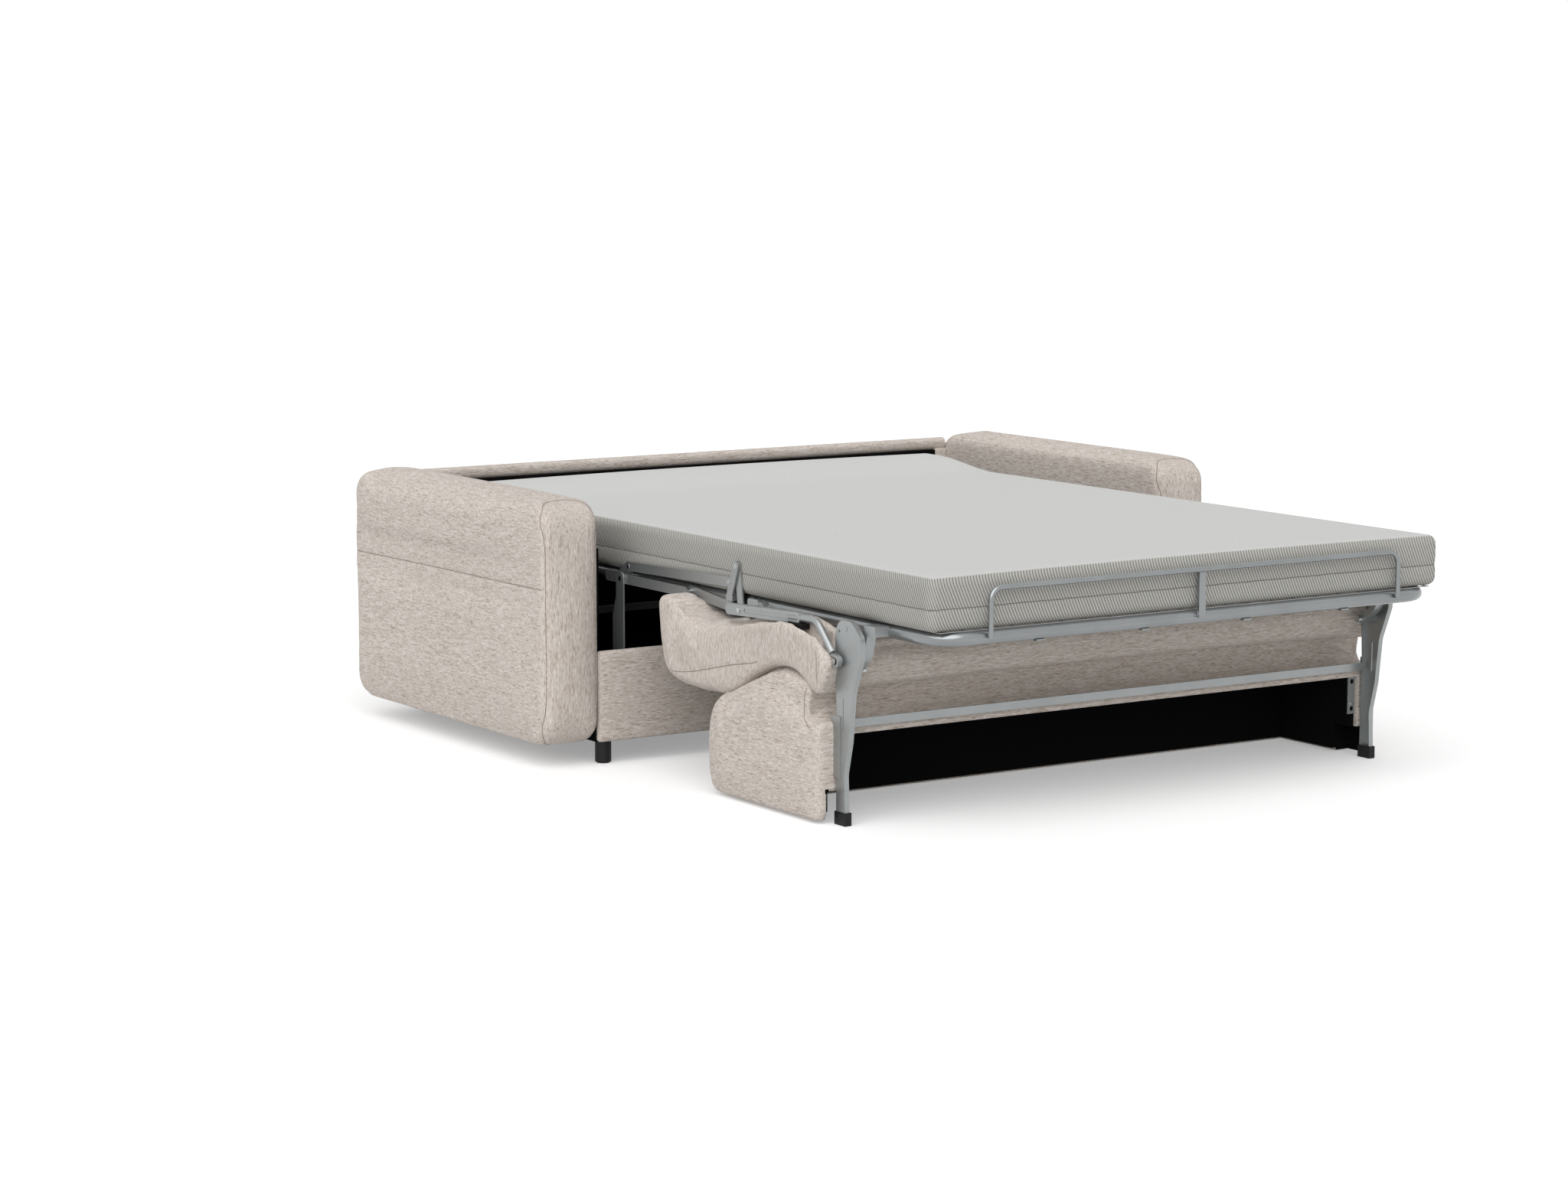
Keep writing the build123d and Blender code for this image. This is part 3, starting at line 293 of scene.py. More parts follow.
def seam(cover, name, points, closed=False):
    """Sew a seam: lay a thread along the cover through the points, and pull the cloth in beside it."""
    curve = bpy.data.curves.new(name, "CURVE")
    curve.dimensions = "3D"
    spline = curve.splines.new("NURBS")
    spline.points.add(len(points) - 1)
    for point, place in zip(spline.points, points):
        point.co = (*place, 1)
    spline.use_cyclic_u = closed
    spline.order_u = 3
    spline.use_endpoint_u = not closed
    span = sum((Vector(a) - Vector(b)).length for a, b in zip(points, points[1:]))
    spline.resolution_u = max(12, round(span / len(points) / SEAM_STEP))
    thread = bpy.data.objects.new(name, curve)
    bpy.context.scene.collection.objects.link(thread)
    only(thread)
    bpy.ops.object.convert(target="MESH")
    apply_modifier(thread, "SHRINKWRAP", target=cover, wrap_method="NEAREST_SURFACEPOINT")
    pull_in(cover, [vertex.co.copy() for vertex in thread.data.vertices], SEAM_PULL, SEAM_REACH)
    apply_modifier(thread, "SHRINKWRAP", target=cover, wrap_method="NEAREST_SURFACEPOINT")
    only(thread)
    bpy.ops.object.convert(target="CURVE")
    thread.data.bevel_depth = SEAM_THREAD
    thread.data.bevel_resolution = 2
    bpy.ops.object.convert(target="MESH")
    return thread


def join(cover, *others):
    """Join threads and trims into one piece with the cover."""
    only(cover)
    for other in others:
        other.select_set(True)
    bpy.ops.object.join()


def paint_faces(obj, materials, choose):
    """Give each face one of the materials; choose gets its middle and normal."""
    obj.data.materials.clear()
    for material in materials:
        obj.data.materials.append(material)
    for face in obj.data.polygons:
        face.material_index = choose(face.center, face.normal)


# Materials


def linear(hex_colour):
    """sRGB hex to the linear colour that shaders use."""
    channels = [int(hex_colour[i:i + 2], 16) / 255 for i in (1, 3, 5)]
    return (*[c / 12.92 if c <= 0.04045 else ((c + 0.055) / 1.055) ** 2.4 for c in channels], 1.0)


def add(tree, kind, inputs=(), stops=(), **settings):
    """Add a node with its settings; inputs are (socket, value or output) pairs, stops a ramp's colours."""
    node = tree.nodes.new(kind)
    for key, value in settings.items():
        setattr(node, key, value)
    for socket, value in inputs:
        if isinstance(value, bpy.types.NodeSocket):
            tree.links.new(value, node.inputs[socket])
        else:
            node.inputs[socket].default_value = value
    for index, (position, colour) in enumerate(stops):
        elements = node.color_ramp.elements
        element = elements[index] if index < len(elements) else elements.new(position)
        element.position = position
        element.color = linear(colour)
    return node


def new_material(name, **shader):
    """An empty material with its surface shader; shader sets the sockets that are the same all over."""
    material = bpy.data.materials.new(name)
    material.use_nodes = True
    tree = material.node_tree
    surface = tree.nodes["Principled BSDF"]
    for key, value in shader.items():
        surface.inputs[key.replace("_", " ")].default_value = value
    return material, tree, surface


def melange_weave(name, along):
    """Woven melange upholstery: slubby two-tone yarn that leaves short flecks along the weft.

    The flecks are about 2 mm high and 13 mm long, as they show from a few metres.
    """
    fleck_length, fleck_height, yarn = 0.013, 0.0018, 0.0022
    material, tree, surface = new_material(name, Roughness=0.95)
    surface.inputs["Sheen Weight"].default_value = 0.08
    surface.inputs["Sheen Roughness"].default_value = 0.6
    place = add(tree, "ShaderNodeTexCoord").outputs["Object"]
    sizes = [fleck_length if axis == along else fleck_height for axis in "XYZ"]
    fleck_place = add(tree, "ShaderNodeMapping", [
        ("Vector", place), ("Scale", [1 / size for size in sizes])]).outputs["Vector"]
    flecks = add(tree, "ShaderNodeTexNoise", [
        ("Vector", fleck_place), ("Scale", 1.0), ("Detail", 3.0), ("Roughness", 0.65)]).outputs["Fac"]
    slub_place = add(tree, "ShaderNodeMapping", [
        ("Vector", place), ("Scale", [0.4 / size for size in sizes])]).outputs["Vector"]
    slubs = add(tree, "ShaderNodeTexNoise", [
        ("Vector", slub_place), ("Scale", 1.0), ("Detail", 2.0)]).outputs["Fac"]
    mixed = add(tree, "ShaderNodeMix", [("Factor", 0.3), ("A", flecks), ("B", slubs)]).outputs["Result"]
    colour = add(tree, "ShaderNodeValToRGB", [("Fac", mixed)], stops=[
        (0.32, "#857766"), (0.43, "#B3A89D"), (0.53, "#C7BEB7"), (0.68, "#DBD5CF")]).outputs["Color"]
    tree.links.new(colour, surface.inputs["Base Color"])
    weave_place = add(tree, "ShaderNodeMapping", [
        ("Vector", place), ("Scale", [1 / yarn] * 3)]).outputs["Vector"]
    weave = add(tree, "ShaderNodeTexNoise", [
        ("Vector", weave_place), ("Scale", 1.0), ("Detail", 1.0)]).outputs["Fac"]
    height = add(tree, "ShaderNodeMix", [("Factor", 0.5), ("A", flecks), ("B", weave)]).outputs["Result"]
    bump = add(tree, "ShaderNodeBump", [("Height", height), ("Strength", 0.3), ("Distance", 0.0015)])
    tree.links.new(bump.outputs["Normal"], surface.inputs["Normal"])
    return material


def grained(name, scale, stops, bump_strength, **shader):
    """A plain finish with a fine grain: a coat, a lining or a moulding; scale is grains per metre."""
    material, tree, surface = new_material(name, **shader)
    place = add(tree, "ShaderNodeTexCoord").outputs["Object"]
    grain = add(tree, "ShaderNodeTexNoise", [
        ("Vector", place), ("Scale", scale), ("Detail", 2.0)]).outputs["Fac"]
    cloud = add(tree, "ShaderNodeTexNoise", [
        ("Vector", place), ("Scale", 12.0), ("Detail", 3.0)]).outputs["Fac"]
    tone = add(tree, "ShaderNodeMix", [("Factor", 0.5), ("A", grain), ("B", cloud)]).outputs["Result"]
    colour = add(tree, "ShaderNodeValToRGB", [("Fac", tone)], stops=stops).outputs["Color"]
    tree.links.new(colour, surface.inputs["Base Color"])
    bump = add(tree, "ShaderNodeBump", [
        ("Height", grain), ("Strength", bump_strength), ("Distance", 0.0005)])
    tree.links.new(bump.outputs["Normal"], surface.inputs["Normal"])
    return material


def knit_ribs():
    """Ribbed knit of the mattress: slanted cords that end at a smooth knit top, with painted shade darkening
    the grooves between the cords.
    """
    loop_width, loop_height = 0.004, 0.003
    material, tree, surface = new_material("ribbed_knit_ticking", Roughness=0.93)
    place = add(tree, "ShaderNodeTexCoord").outputs["Object"]
    parts = add(tree, "ShaderNodeSeparateXYZ", [("Vector", place)]).outputs
    along = add(tree, "ShaderNodeMath", [
        (0, parts["X"]), (1, parts["Y"])], operation="SUBTRACT").outputs["Value"]
    slant = add(tree, "ShaderNodeMath", [
        (0, parts["Z"]), (1, RIB_SLANT), (2, along)], operation="MULTIPLY_ADD").outputs["Value"]
    turns = add(tree, "ShaderNodeMath", [
        (0, slant), (1, 2 * pi / RIB_PITCH)], operation="MULTIPLY").outputs["Value"]
    wave = add(tree, "ShaderNodeMath", [(0, turns)], operation="SINE").outputs["Value"]
    rib = add(tree, "ShaderNodeMapRange", [
        ("Value", wave), ("From Min", -1.0), ("From Max", 1.0)]).outputs["Result"]
    loop_place = add(tree, "ShaderNodeMapping", [
        ("Vector", place), ("Scale", (1 / loop_width, 1 / loop_width, 1 / loop_height))]).outputs["Vector"]
    loops = add(tree, "ShaderNodeTexNoise", [("Vector", loop_place), ("Scale", 1.0)]).outputs["Fac"]
    tone = add(tree, "ShaderNodeMix", [("Factor", 0.25), ("A", rib), ("B", loops)]).outputs["Result"]
    # Painted shade: the dark stop falls in the grooves between the cords, the light ones on their crests
    border = add(tree, "ShaderNodeValToRGB", [("Fac", tone)], stops=[
        (0.10, "#74736E"), (0.45, "#9D9C97"), (0.85, "#B6B5B0")]).outputs["Color"]
    top = add(tree, "ShaderNodeValToRGB", [("Fac", loops)], stops=[
        (0.3, "#C6C6C4"), (0.7, "#CDCDCB")]).outputs["Color"]
    normal = add(tree, "ShaderNodeTexCoord").outputs["Normal"]
    facing = add(tree, "ShaderNodeSeparateXYZ", [("Vector", normal)]).outputs["Z"]
    flat = add(tree, "ShaderNodeMapRange", [
        ("Value", facing), ("From Min", 0.80), ("From Max", 0.985)],
        interpolation_type="SMOOTHSTEP").outputs["Result"]
    colour = add(tree, "ShaderNodeMix", [
        ("Factor", flat), ("A", border), ("B", top)], data_type="RGBA").outputs["Result"]
    tree.links.new(colour, surface.inputs["Base Color"])
    height = add(tree, "ShaderNodeMix", [("Factor", flat), ("A", rib), ("B", loops)]).outputs["Result"]
    bump = add(tree, "ShaderNodeBump", [("Height", height), ("Strength", 0.4), ("Distance", 0.0012)])
    tree.links.new(bump.outputs["Normal"], surface.inputs["Normal"])
    return material


def sawn_wood():
    """Sawn softwood of the hidden frames: grain lines 11 mm apart that run long along the bed."""
    grains_across, grains_along = 90.0, 6.0
    material, tree, surface = new_material("sawn_softwood", Roughness=0.7)
    place = add(tree, "ShaderNodeTexCoord").outputs["Object"]
    grain_place = add(tree, "ShaderNodeMapping", [
        ("Vector", place), ("Scale", (grains_across, grains_along, grains_across))]).outputs["Vector"]
    grain = add(tree, "ShaderNodeTexNoise", [
        ("Vector", grain_place), ("Scale", 1.0), ("Detail", 4.0)]).outputs["Fac"]
    colour = add(tree, "ShaderNodeValToRGB", [("Fac", grain)], stops=[
        (0.3, "#A98557"), (0.7, "#D2B384")]).outputs["Color"]
    tree.links.new(colour, surface.inputs["Base Color"])
    return material


weave_x = melange_weave("melange_weave_across", "X")
weave_y = melange_weave("melange_weave_along", "Y")
weave_z = melange_weave("melange_weave_upright", "Z")
# Seam thread of the upholstery, with painted shade: darker than the cloth, as the crease looks where the
# cloth turns in
thread_painted_shade = grained("sewn_seam_painted_shade", 420.0, [(0.3, "#877C73"), (0.7, "#9F948B")], 0.2, Roughness=0.95)
# Seam of the mattress border, a fold between two strips of knit, with painted shade: darker than the knit,
# as the fold looks
mattress_thread_painted_shade = grained("mattress_seam_painted_shade", 420.0, [(0.3, "#6A6965"), (0.7, "#7C7B77")], 0.2, Roughness=0.95)
mattress_knit = knit_ribs()
slot_materials = {
    "wood": sawn_wood(),
    # Board under black lining, with painted shade: darker than the lining itself, as the deep hollow looks,
    # so it swallows nearly all light
    "black_board": grained(
        "black_lined_board_painted_shade", 60.0, [(0.35, "#030303"), (0.65, "#060505")], 0.1,
        Roughness=1.0, Specular_IOR_Level=0.12),
    # Moulded polypropylene: black with a dull sheen
    "black_plastic": grained(
        "moulded_black_plastic", 240.0, [(0.35, "#090909"), (0.65, "#101010")], 0.1,
        Roughness=0.5, Specular_IOR_Level=0.3),
    # Silver coat on bent tube: a smooth satin with long highlights
    "tube_steel": grained(
        "silver_coated_tube", 700.0, [(0.35, "#888B8C"), (0.65, "#959899")], 0.04,
        Roughness=0.26, Metallic=0.8),
    # The same coat on thin wire, a little duller
    "net_steel": grained(
        "silver_coated_wire", 700.0, [(0.35, "#A2A4A4"), (0.65, "#B0B2B2")], 0.04,
        Roughness=0.4, Metallic=0.8),
    # Grey powder coat on pressed strip: soft highlights on flat faces
    "pressed_steel": grained(
        "grey_coated_pressing", 700.0, [(0.35, "#979A9A"), (0.65, "#A3A6A6")], 0.06,
        Roughness=0.38, Metallic=0.7),
    # Zinc plated steel: the brightest metal, on pins and screws
    "pin_steel": grained(
        "zinc_plated_pin", 500.0, [(0.35, "#AFB2B2"), (0.65, "#C4C7C8")], 0.04,
        Roughness=0.28, Metallic=1.0),
}
for part in frame["record"]["subparts"]:
    finish = slot_materials.get(part["material_slot"])
    if finish:
        node_mesh = nodes[part["node"]].data
        node_mesh.materials.clear()
        node_mesh.materials.append(finish)

caps_low, caps_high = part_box("foot_caps")
feet_y = (caps_low.y + caps_high.y) / 2


# Arms


def arm_cover():
    """Left arm: a pillow of cloth over its frame, with a band at the front and a seam along the side."""
    low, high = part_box("arm_left_upholstery")
    cover = box_between("arm_left_cover", low, high)
    edit(cover)
    pick(cover, "EDGE", lambda p: False)
    mesh = bmesh.from_edit_mesh(cover.data)
    for edge in mesh.edges:
        a, b = edge.verts
        edge.select_set(abs(a.co.x - b.co.x) > 0.1)
    bmesh.update_edit_mesh(cover.data)
    bpy.ops.mesh.bevel(offset=ARM_CORNER, segments=10)
    for x in (low.x, high.x):
        pick(cover, "EDGE", lambda p: near(p.x, x))
        bpy.ops.mesh.bevel(offset=ARM_EDGE, segments=6)
    bpy.ops.object.mode_set(mode="OBJECT")
    even_mesh(cover, COVER_VOXEL, 3)
    seam_y = low.y + ARM_BAND_EDGE
    band_x = (low.x + ARM_BAND_EDGE, high.x - ARM_BAND_EDGE)

    def held(p):
        by_side_seam = near(p.z, ARM_SEAM_Z, ARM_SEAM_HOLD) and p.x < low.x + 0.02
        at_band_edge = p.x < band_x[0] + 0.01 or p.x > band_x[1] - 0.01
        on_band_seam = near(p.y, seam_y, 0.006) and at_band_edge
        return p.x > high.x - 0.006 or p.z < low.z + 0.006 or by_side_seam or on_band_seam

    puff(cover, held, ARM_PUFF)
    apply_modifier(cover, "SUBSURF", levels=1, render_levels=1)
    top_y = low.y + ARM_BAND_TOP
    round_y, corner_y = top_y - ARM_BAND_ROUND, low.y + ARM_BAND_ROUND

    def upright(x):
        """Places of the band's seam down one edge of the arm's front."""
        return [
            (x, round_y, high.z - 0.004), (x, corner_y, high.z - 0.03), (x, seam_y, high.z - 0.08),
            (x, seam_y, 0.45), (x, seam_y, 0.30), (x, seam_y, low.z + 0.08),
            (x, corner_y, low.z + 0.03), (x, round_y, low.z + 0.004)]

    outer, inner = [upright(x) for x in band_x]
    outer_x, inner_x = band_x[0] + ARM_BAND_ROUND, band_x[1] - ARM_BAND_ROUND
    band = [
        (inner_x, top_y, high.z), (outer_x, top_y, high.z), *outer,
        (outer_x, top_y, low.z), (inner_x, top_y, low.z), *reversed(inner)]
    side = [
        (low.x, high.y - 0.012, ARM_SEAM_Z - 0.004), (low.x, (low.y + high.y) / 2, ARM_SEAM_Z),
        (low.x, seam_y, ARM_SEAM_Z)]
    threads = [seam(cover, "arm_band_seam", band, closed=True), seam(cover, "arm_side_seam", side)]

    def cloth(centre, normal):
        in_band = centre.y < seam_y + 0.002 or (normal.y < -0.25 and centre.y < top_y)
        return 1 if in_band else 0

    paint_faces(cover, [weave_y, weave_z], cloth)
    for thread in threads:
        thread.data.materials.append(thread_painted_shade)
    join(cover, *threads)
    return cover


def other_arm(cover):
    """The right arm, a mirrored copy with its own mesh."""
    only(cover)
    bpy.ops.object.duplicate()
    copy = bpy.context.object
    copy.name = "arm_right_cover"
    copy.scale.x = -1
    bpy.ops.object.transform_apply(location=True, rotation=True, scale=True)
    edit(copy)
    bpy.ops.mesh.select_all(action="SELECT")
    bpy.ops.mesh.normals_make_consistent(inside=False)
    bpy.ops.object.mode_set(mode="OBJECT")
    return copy


def finish_cover(cover, body, replaced):
    """Set a cloth cover in the place of its plain solid."""
    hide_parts(replaced)
    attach(cover, body)


left_arm = arm_cover()
right_arm = other_arm(left_arm)
finish_cover(left_arm, "shell", "arm_left_upholstery")
finish_cover(right_arm, "shell", "arm_right_upholstery")


# Front panel and back rail


def front_panel_cover():
    """Cloth over a thin layer of wadding on the front panel: rounded edges and a slight crown."""
    low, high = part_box("front_panel_upholstery")
    cover = box_between("front_panel_cover", low, high)
    edit(cover)
    bpy.ops.mesh.select_all(action="SELECT")
    bpy.ops.mesh.bevel(offset=PANEL_EDGE, segments=4)
    for share in range(1, PANEL_COLUMNS):
        bpy.ops.mesh.select_all(action="SELECT")
        x = low.x + (high.x - low.x) * share / PANEL_COLUMNS
        bpy.ops.mesh.bisect(plane_co=(x, 0, 0), plane_no=(1, 0, 0))
    for share in range(1, PANEL_ROWS):
        bpy.ops.mesh.select_all(action="SELECT")
        z = low.z + (high.z - low.z) * share / PANEL_ROWS
        bpy.ops.mesh.bisect(plane_co=(0, 0, z), plane_no=(0, 0, 1))
    bpy.ops.object.mode_set(mode="OBJECT")
    middle = (low + high) / 2
    half = (high - low) / 2
    for vertex in cover.data.vertices:
        if vertex.co.y < middle.y:
            across = 1 - ((vertex.co.z - middle.z) / half.z) ** 2
            vertex.co.y -= PANEL_CROWN * max(across, 0)
    bpy.ops.object.shade_smooth_by_angle(angle=radians(40))
    return cover


front_panel = front_panel_cover()
paint_faces(front_panel, [weave_x], lambda centre, normal: 0)
finish_cover(front_panel, "shell", "front_panel_upholstery")


def back_rail_cover():
    """Back of the shell: a flat cloth back, a padded roll over its top edge, and a post at each end."""
    low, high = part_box("back_rail_upholstery")
    board_low, board_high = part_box("back_board")
    cover = box_between("back_rail_cover", (low.x, board_high.y, low.z), (high.x, high.y, board_high.z))
    roll = box_between("roll", (low.x, low.y, board_high.z), high)
    for piece, edge, rings in ((cover, RAIL_EDGE, 3), (roll, RAIL_ROLL, 6)):
        edit(piece)
        mesh = bmesh.from_edit_mesh(piece.data)
        for line in mesh.edges:
            ends = line.verts
            line.select_set(abs(ends[0].co.x - ends[1].co.x) > 0.1)
        bmesh.update_edit_mesh(piece.data)
        bpy.ops.mesh.bevel(offset=edge, segments=rings)
        for share in range(1, RAIL_CUTS):
            bpy.ops.mesh.select_all(action="SELECT")
            x = low.x + (high.x - low.x) * share / RAIL_CUTS
            bpy.ops.mesh.bisect(plane_co=(x, 0, 0), plane_no=(1, 0, 0))
        bpy.ops.object.mode_set(mode="OBJECT")
        bpy.ops.object.shade_smooth_by_angle(angle=radians(40))
    posts = []
    for side in (-1, 1):
        across = sorted((side * (high.x - RAIL_POST), side * high.x))
        post_low = (across[0], low.y - RAIL_POST_PROUD, RAIL_POST_FOOT)
        post = box_between("post", post_low, (across[1], board_high.y, board_high.z + RAIL_EDGE))
        edit(post)
        bpy.ops.mesh.select_all(action="SELECT")
        bpy.ops.mesh.bevel(offset=RAIL_EDGE, segments=3)
        bpy.ops.object.mode_set(mode="OBJECT")
        bpy.ops.object.shade_smooth_by_angle(angle=radians(40))
        posts.append(post)
    join(cover, roll, *posts)
    return cover


back_rail = back_rail_cover()
paint_faces(back_rail, [weave_x], lambda centre, normal: 0)
finish_cover(back_rail, "shell", "back_rail_upholstery")


# Seat and back


# Profiles of the cushions, as control points (y, z) from the feet of the leg blades
SEAT_OUTLINE = [
    (0.684, 0.380), (0.681, 0.416), (0.654, 0.422), (0.620, 0.416), (0.592, 0.384), (0.545, 0.360),
    (0.471, 0.367), (0.350, 0.400), (0.222, 0.424), (0.140, 0.430), (0.075, 0.414), (0.024, 0.392),
    (-0.004, 0.350), (0.012, 0.305), (0.030, 0.284), (0.070, 0.290), (0.130, 0.322), (0.200, 0.326),
    (0.290, 0.298), (0.380, 0.240), (0.472, 0.226), (0.583, 0.226), (0.668, 0.240), (0.690, 0.300)]
BACK_OUTLINE = [
    (0.024, 0.004), (0.060, 0.004), (0.200, 0.004), (0.400, 0.004), (0.452, 0.010), (0.470, 0.070),
    (0.472, 0.160), (0.448, 0.214), (0.380, 0.248), (0.290, 0.284), (0.200, 0.314), (0.120, 0.308),
    (0.064, 0.296), (0.070, 0.262), (0.076, 0.236), (0.074, 0.214), (0.050, 0.212), (0.024, 0.222),
    (0.024, 0.180), (0.024, 0.060)]
# Seams on the end faces, given the same way
SEAT_SEAMS = [
    [(0.640, 0.244), (0.546, 0.258), (0.435, 0.284), (0.363, 0.300), (0.278, 0.313)],
    [(0.046, 0.366), (0.042, 0.330), (0.036, 0.302)]]
BACK_SEAMS = [[(0.080, 0.290), (0.086, 0.262), (0.090, 0.240), (0.084, 0.218), (0.060, 0.206)]]
# Pinches where the hump folds up from the seat's dip, as points (x, y, z)
SEAT_CREASES = [
    [(0.780 - 0.012 * step, 0.612 - 0.004 * step, 0.398 - 0.001 * step) for step in range(9)],
    [(0.784 - 0.004 * step, 0.606 - 0.010 * step, 0.386 - 0.005 * step) for step in range(7)],
    [(0.770 - 0.014 * step, 0.596 - 0.001 * step, 0.374 - 0.001 * step) for step in range(10)]]


def end_seams(cover, name, end_x, lines):
    """The same seams on both end faces of a cushion."""
    threads = []
    for side in (-1, 1):
        for line in lines:
            thread = seam(cover, f"{name}_seam", [(side * end_x, feet_y + y, z) for y, z in line])
            thread.data.materials.append(thread_painted_shade)
            threads.append(thread)
    return threads


def mechanism_room(node, grow):
    """Box of a steel part, grown by the room that the soft seat leaves round it, open upwards."""
    low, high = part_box(node)
    return Vector(low) - Vector(grow), Vector((high.x, high.y, cad_high.z)) + Vector((grow[0], grow[1], 0))


def seat_cover():
    """The seat, upside down under the foot section, with room for the links, blades and bed frame."""
    low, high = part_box("seat_cushion")
    cover = outline_solid("seat_cover", SEAT_OUTLINE, low.x, high.x, SEAT_EDGE)
    rooms = [mechanism_room(f"bent_link_{side}", LINK_ROOM) for side in ("left", "right")]
    boards_low, boards_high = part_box("back_boards")
    link_low, link_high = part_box("bent_link_right")
    for side in (-1, 1):
        across = sorted((side * (boards_high.x - 0.002), side * (link_high.x + 0.004)))
        room_high = Vector((across[1], feet_y + BLADE_ROOM_Y, cad_high.z))
        rooms.append((Vector((across[0], low.y - 1, BLADE_ROOM_Z)), room_high))
    board_low, board_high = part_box("seat_board")
    pin_low, pin_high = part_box("foot_pins")
    inner = pin_high.x - FRAME_INSET
    frame_low = Vector((-inner, low.y - 1, board_high.z - 0.0004))
    rooms.append((frame_low, Vector((inner, high.y + 1, cad_high.z))))
    cut(cover, *rooms)
    even_mesh(cover, SEAT_VOXEL, 2)

    def held(p):
        return p.z > 0.38 and abs(p.x) < high.x - 0.02

    puff(cover, held, SEAT_PUFF)
    apply_modifier(cover, "SUBSURF", levels=1, render_levels=1)
    for side in (-1, 1):
        for crease in SEAT_CREASES:
            places = [Vector((side * x, feet_y + y, z)) for x, y, z in crease]
            pull_in(cover, places, CREASE_PULL, CREASE_REACH)
    threads = end_seams(cover, "seat", high.x, SEAT_SEAMS)
    paint_faces(cover, [weave_x, weave_z], lambda centre, normal: 1 if abs(normal.x) > 0.6 else 0)
    join(cover, *threads)
    return cover


seat = seat_cover()
finish_cover(seat, "foot_section", "seat_cushion")


def back_cover():
    """The hollow back on the floor, open where its black boards show."""
    low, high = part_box("back_cushion")
    cover = outline_solid("back_cover", BACK_OUTLINE, low.x, high.x, BACK_EDGE)
    even_mesh(cover, COVER_VOXEL, 2)

    def held(p):
        return p.z < low.z + 0.01 or p.y < low.y + 0.02

    puff(cover, held, BACK_PUFF)
    boards_low, boards_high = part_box("back_boards")
    mouth = Vector((boards_high.x, boards_low.y + 0.001, boards_high.z - BACK_LIP))
    hollow_low = Vector((boards_low.x, boards_low.y, -1))
    cut(cover, (Vector((boards_low.x, low.y - 1, -1)), mouth), (hollow_low, boards_high))
    notch_x = (boards_high.x - 0.001, caps_high.x + FOOT_NOTCH[0])
    notch_y, notch_z = boards_low.y + FOOT_NOTCH[1], FOOT_NOTCH[2]
    for side in (-1, 1):
        across = sorted(side * x for x in notch_x)
        cut(cover, (Vector((across[0], -10, -1)), Vector((across[1], notch_y, notch_z))))
    threads = end_seams(cover, "back", high.x, BACK_SEAMS)

    def cloth(centre, normal):
        in_notch = notch_x[0] - 0.001 < abs(centre.x) < notch_x[1] + 0.001
        if in_notch and centre.y < notch_y + 0.001 and centre.z < notch_z + 0.001:
            return 2
        return 1 if abs(normal.x) > 0.6 else 0

    # The notch faces take the black board finish, with its painted shade
    paint_faces(cover, [weave_x, weave_y, slot_materials["black_board"]], cloth)
    join(cover, *threads)
    return cover


back = back_cover()
finish_cover(back, "back_unit", "back_cushion")


# Mattress


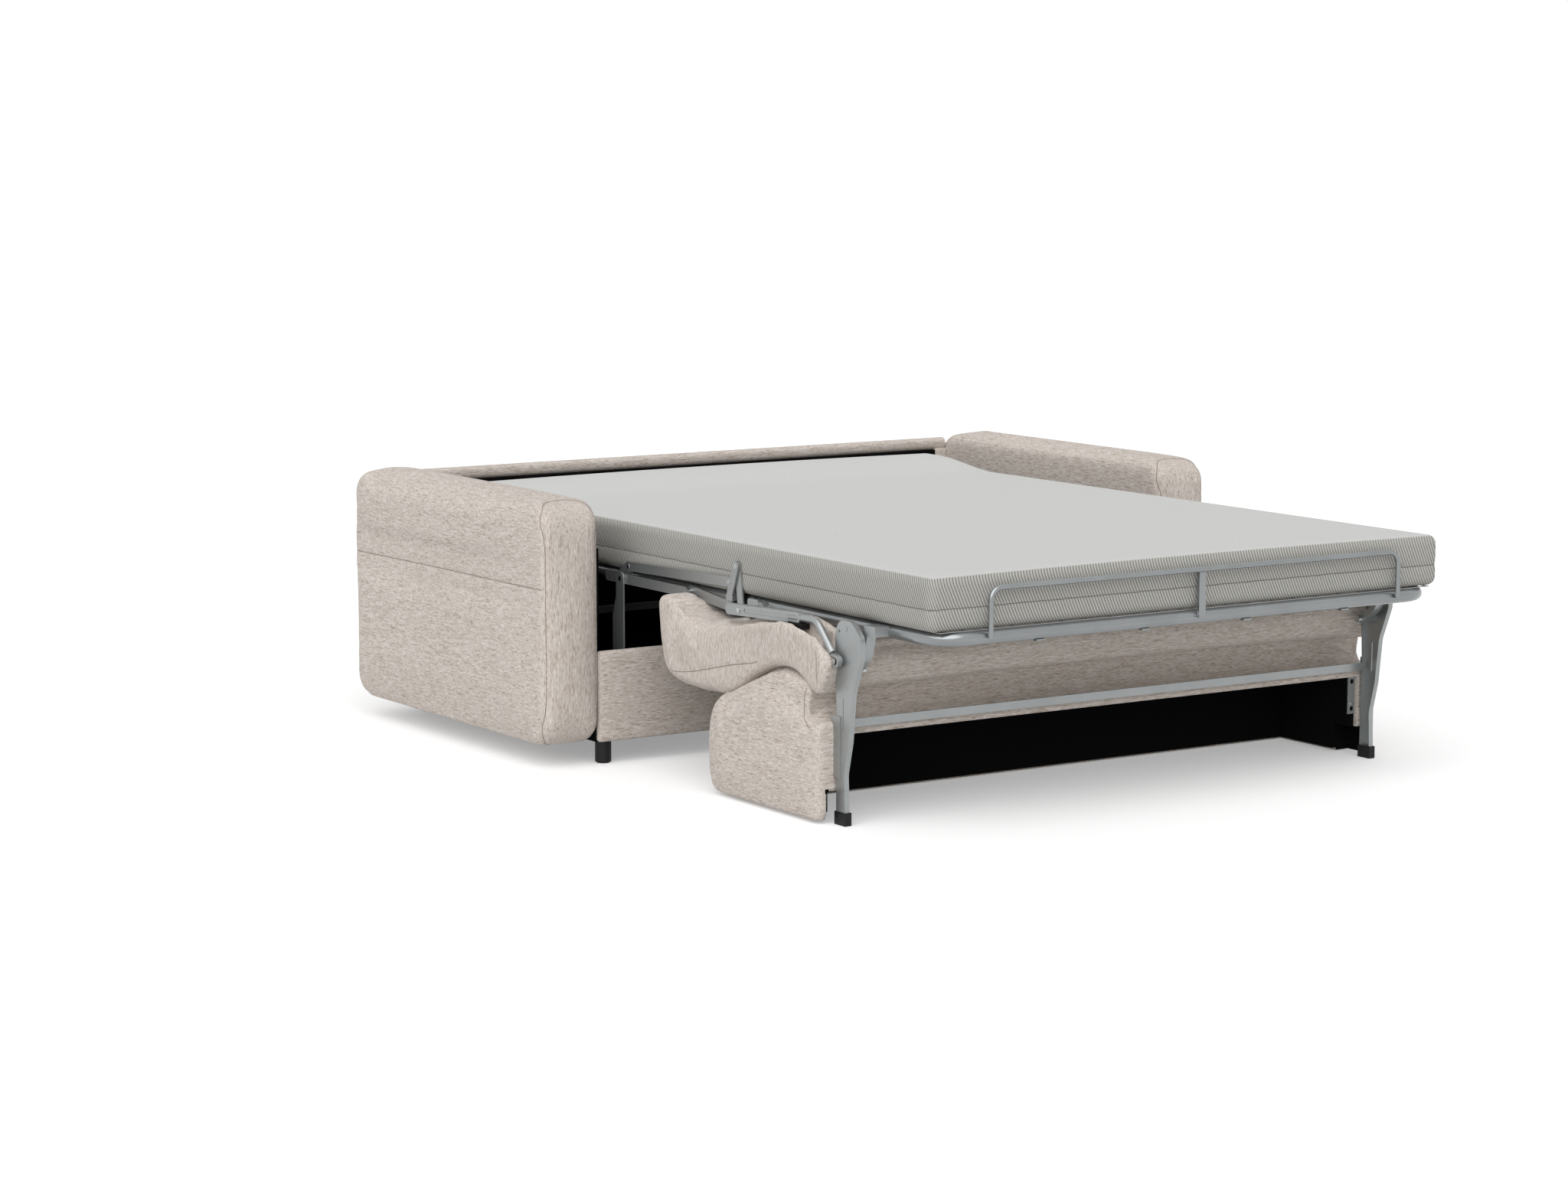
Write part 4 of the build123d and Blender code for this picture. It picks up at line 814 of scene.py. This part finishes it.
def mattress_section(name, node, body, foot=False, head=False):
    """One folding section of the foam mattress: flat knit top, ribbed border, seam round the border."""
    low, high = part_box(node)
    rise_start, rise_end = [feet_y + y for y in HEAD_RISE_Y]
    rise = HEAD_RISE if head else 0.0
    flat_top = high.z - rise
    section = box_between(name, low, (high.x, high.y, flat_top))
    ends = [y for y, there in ((low.y, foot), (high.y, head)) if there]
    edit(section)
    mesh = bmesh.from_edit_mesh(section.data)
    bpy.ops.mesh.select_mode(type="EDGE")
    bpy.ops.mesh.select_all(action="DESELECT")
    for e in mesh.edges:
        a, b = e.verts
        upright = abs(a.co.z - b.co.z) > 0.05
        e.select_set(upright and any(near(a.co.y, y) for y in ends))
    bmesh.update_edit_mesh(section.data)
    if ends:
        bpy.ops.mesh.bevel(offset=MATTRESS_CORNER, segments=6)
    cuts = [y for y in (low.y, high.y) if y not in ends]
    for level in (low.z, flat_top):
        pick(section, "EDGE", lambda p: near(p.z, level))
        mesh = bmesh.from_edit_mesh(section.data)
        for e in mesh.edges:
            if e.select and any(near(e.verts[0].co.y, y) and near(e.verts[1].co.y, y) for y in cuts):
                e.select_set(False)
        bmesh.update_edit_mesh(section.data)
        bpy.ops.mesh.bevel(offset=MATTRESS_EDGE, segments=5)
    count = int((high.y - low.y) / MATTRESS_STEP)
    for index in range(1, count):
        bpy.ops.mesh.select_all(action="SELECT")
        y = low.y + (high.y - low.y) * index / count
        bpy.ops.mesh.bisect(plane_co=(0, y, 0), plane_no=(0, 1, 0))
    for index in range(1, MATTRESS_COLUMNS):
        bpy.ops.mesh.select_all(action="SELECT")
        x = low.x + (high.x - low.x) * index / MATTRESS_COLUMNS
        bpy.ops.mesh.bisect(plane_co=(x, 0, 0), plane_no=(1, 0, 0))
    seam_z = low.z + MATTRESS_SEAM
    for level in (-0.012, -0.005, 0, 0.005, 0.012, 0.024):
        bpy.ops.mesh.select_all(action="SELECT")
        bpy.ops.mesh.bisect(plane_co=(0, 0, seam_z + level), plane_no=(0, 0, 1))
    bpy.ops.object.mode_set(mode="OBJECT")
    for vertex in section.data.vertices:
        share = (vertex.co.z - low.z) / (flat_top - low.z)
        lift = min(max((vertex.co.y - rise_start) / (rise_end - rise_start), 0), 1)
        across = 1 - (vertex.co.x / high.x) ** 2
        crown = MATTRESS_CROWN * across * (share > 0.9)
        vertex.co.z += share * (rise * lift * lift * (3 - 2 * lift) + crown)
    bpy.ops.object.shade_smooth_by_angle(angle=radians(35))
    paint_faces(section, [mattress_knit], lambda centre, normal: 0)
    near_y, far_y = low.y + 0.001, high.y - 0.001
    middle_y = (near_y + far_y) / 2

    def round_end(start, end):
        """Places of the seam from the cut, round the end of the mattress and back to the cut."""
        turn = MATTRESS_TURN if start > end else -MATTRESS_TURN
        half = [
            (low.x, start), (low.x, middle_y), (low.x, end + turn), (low.x, end),
            (low.x + MATTRESS_TURN, end)]
        other_half = [(-x, y) for x, y in reversed(half)]
        return [(x, y, seam_z) for x, y in (*half, (0, end), *other_half)]

    if foot:
        lines = [round_end(far_y, near_y)]
    elif head:
        lines = [round_end(near_y, far_y)]
    else:
        lines = [[(x, y, seam_z) for y in (near_y, middle_y, far_y)] for x in (low.x, high.x)]
    threads = [seam(section, f"{name}_seam", line) for line in lines]
    for thread in threads:
        thread.data.materials.append(mattress_thread_painted_shade)
    join(section, *threads)
    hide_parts(node)
    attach(section, body)
    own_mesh(section)
    return section


mattress_section("mattress_foot_part", "mattress_foot", "foot_section", foot=True)
mattress_section("mattress_middle_part", "mattress_mid", "mid_section")
mattress_section("mattress_head_part", "mattress_head", "head_section", head=True)


# Studio


def studio():
    """Floor, sky, key light and camera."""
    scene = bpy.context.scene
    scene.view_settings.view_transform = "Standard"
    bpy.ops.object.select_all(action="DESELECT")
    bpy.ops.mesh.primitive_plane_add(size=60, location=(0, 0, -0.0005))
    floor = bpy.context.object
    floor.name = "studio_floor"
    material, tree, surface = new_material("pale_studio_floor", Roughness=0.9)
    surface.inputs["Base Color"].default_value = linear("#E6E6E6")
    path = add(tree, "ShaderNodeLightPath").outputs
    seen = add(tree, "ShaderNodeMath", [
        (0, path["Is Camera Ray"]), (1, path["Is Glossy Ray"])], operation="MAXIMUM").outputs["Value"]
    strength = add(tree, "ShaderNodeMath", [
        (0, seen), (1, FLOOR_GLOW)], operation="MULTIPLY").outputs["Value"]
    glow = add(tree, "ShaderNodeEmission", [("Strength", strength)]).outputs["Emission"]
    both = add(tree, "ShaderNodeAddShader", [(0, surface.outputs["BSDF"]), (1, glow)]).outputs["Shader"]
    tree.links.new(both, tree.nodes["Material Output"].inputs["Surface"])
    floor.data.materials.append(material)

    world = bpy.data.worlds.new("white_studio")
    world.use_nodes = True
    scene.world = world
    tree = world.node_tree
    path = add(tree, "ShaderNodeLightPath").outputs
    shown = add(tree, "ShaderNodeMath", [
        (0, path["Is Camera Ray"]), (1, path["Is Glossy Ray"])], operation="MAXIMUM").outputs["Value"]
    strength = add(tree, "ShaderNodeMapRange", [
        ("Value", shown), ("To Min", SKY_LIGHT), ("To Max", 1.0)]).outputs["Result"]
    background = tree.nodes["Background"]
    background.inputs["Color"].default_value = (1, 1, 1, 1)
    tree.links.new(strength, background.inputs["Strength"])

    bpy.ops.object.light_add(type="SUN", rotation=[radians(a) for a in KEY_TURN])
    light = bpy.context.object
    light.name = "key_light"
    light.data.energy = KEY_LIGHT
    light.data.angle = radians(KEY_SPREAD)

    bpy.ops.object.camera_add(
        location=CAMERA_PLACE, rotation=(radians(90 - CAMERA_PITCH), 0, radians(-CAMERA_YAW)))
    camera = bpy.context.object
    camera.name = "photo_camera"
    camera.data.sensor_width = SENSOR
    camera.data.lens = CAMERA_LENS
    scene.camera = camera


studio()
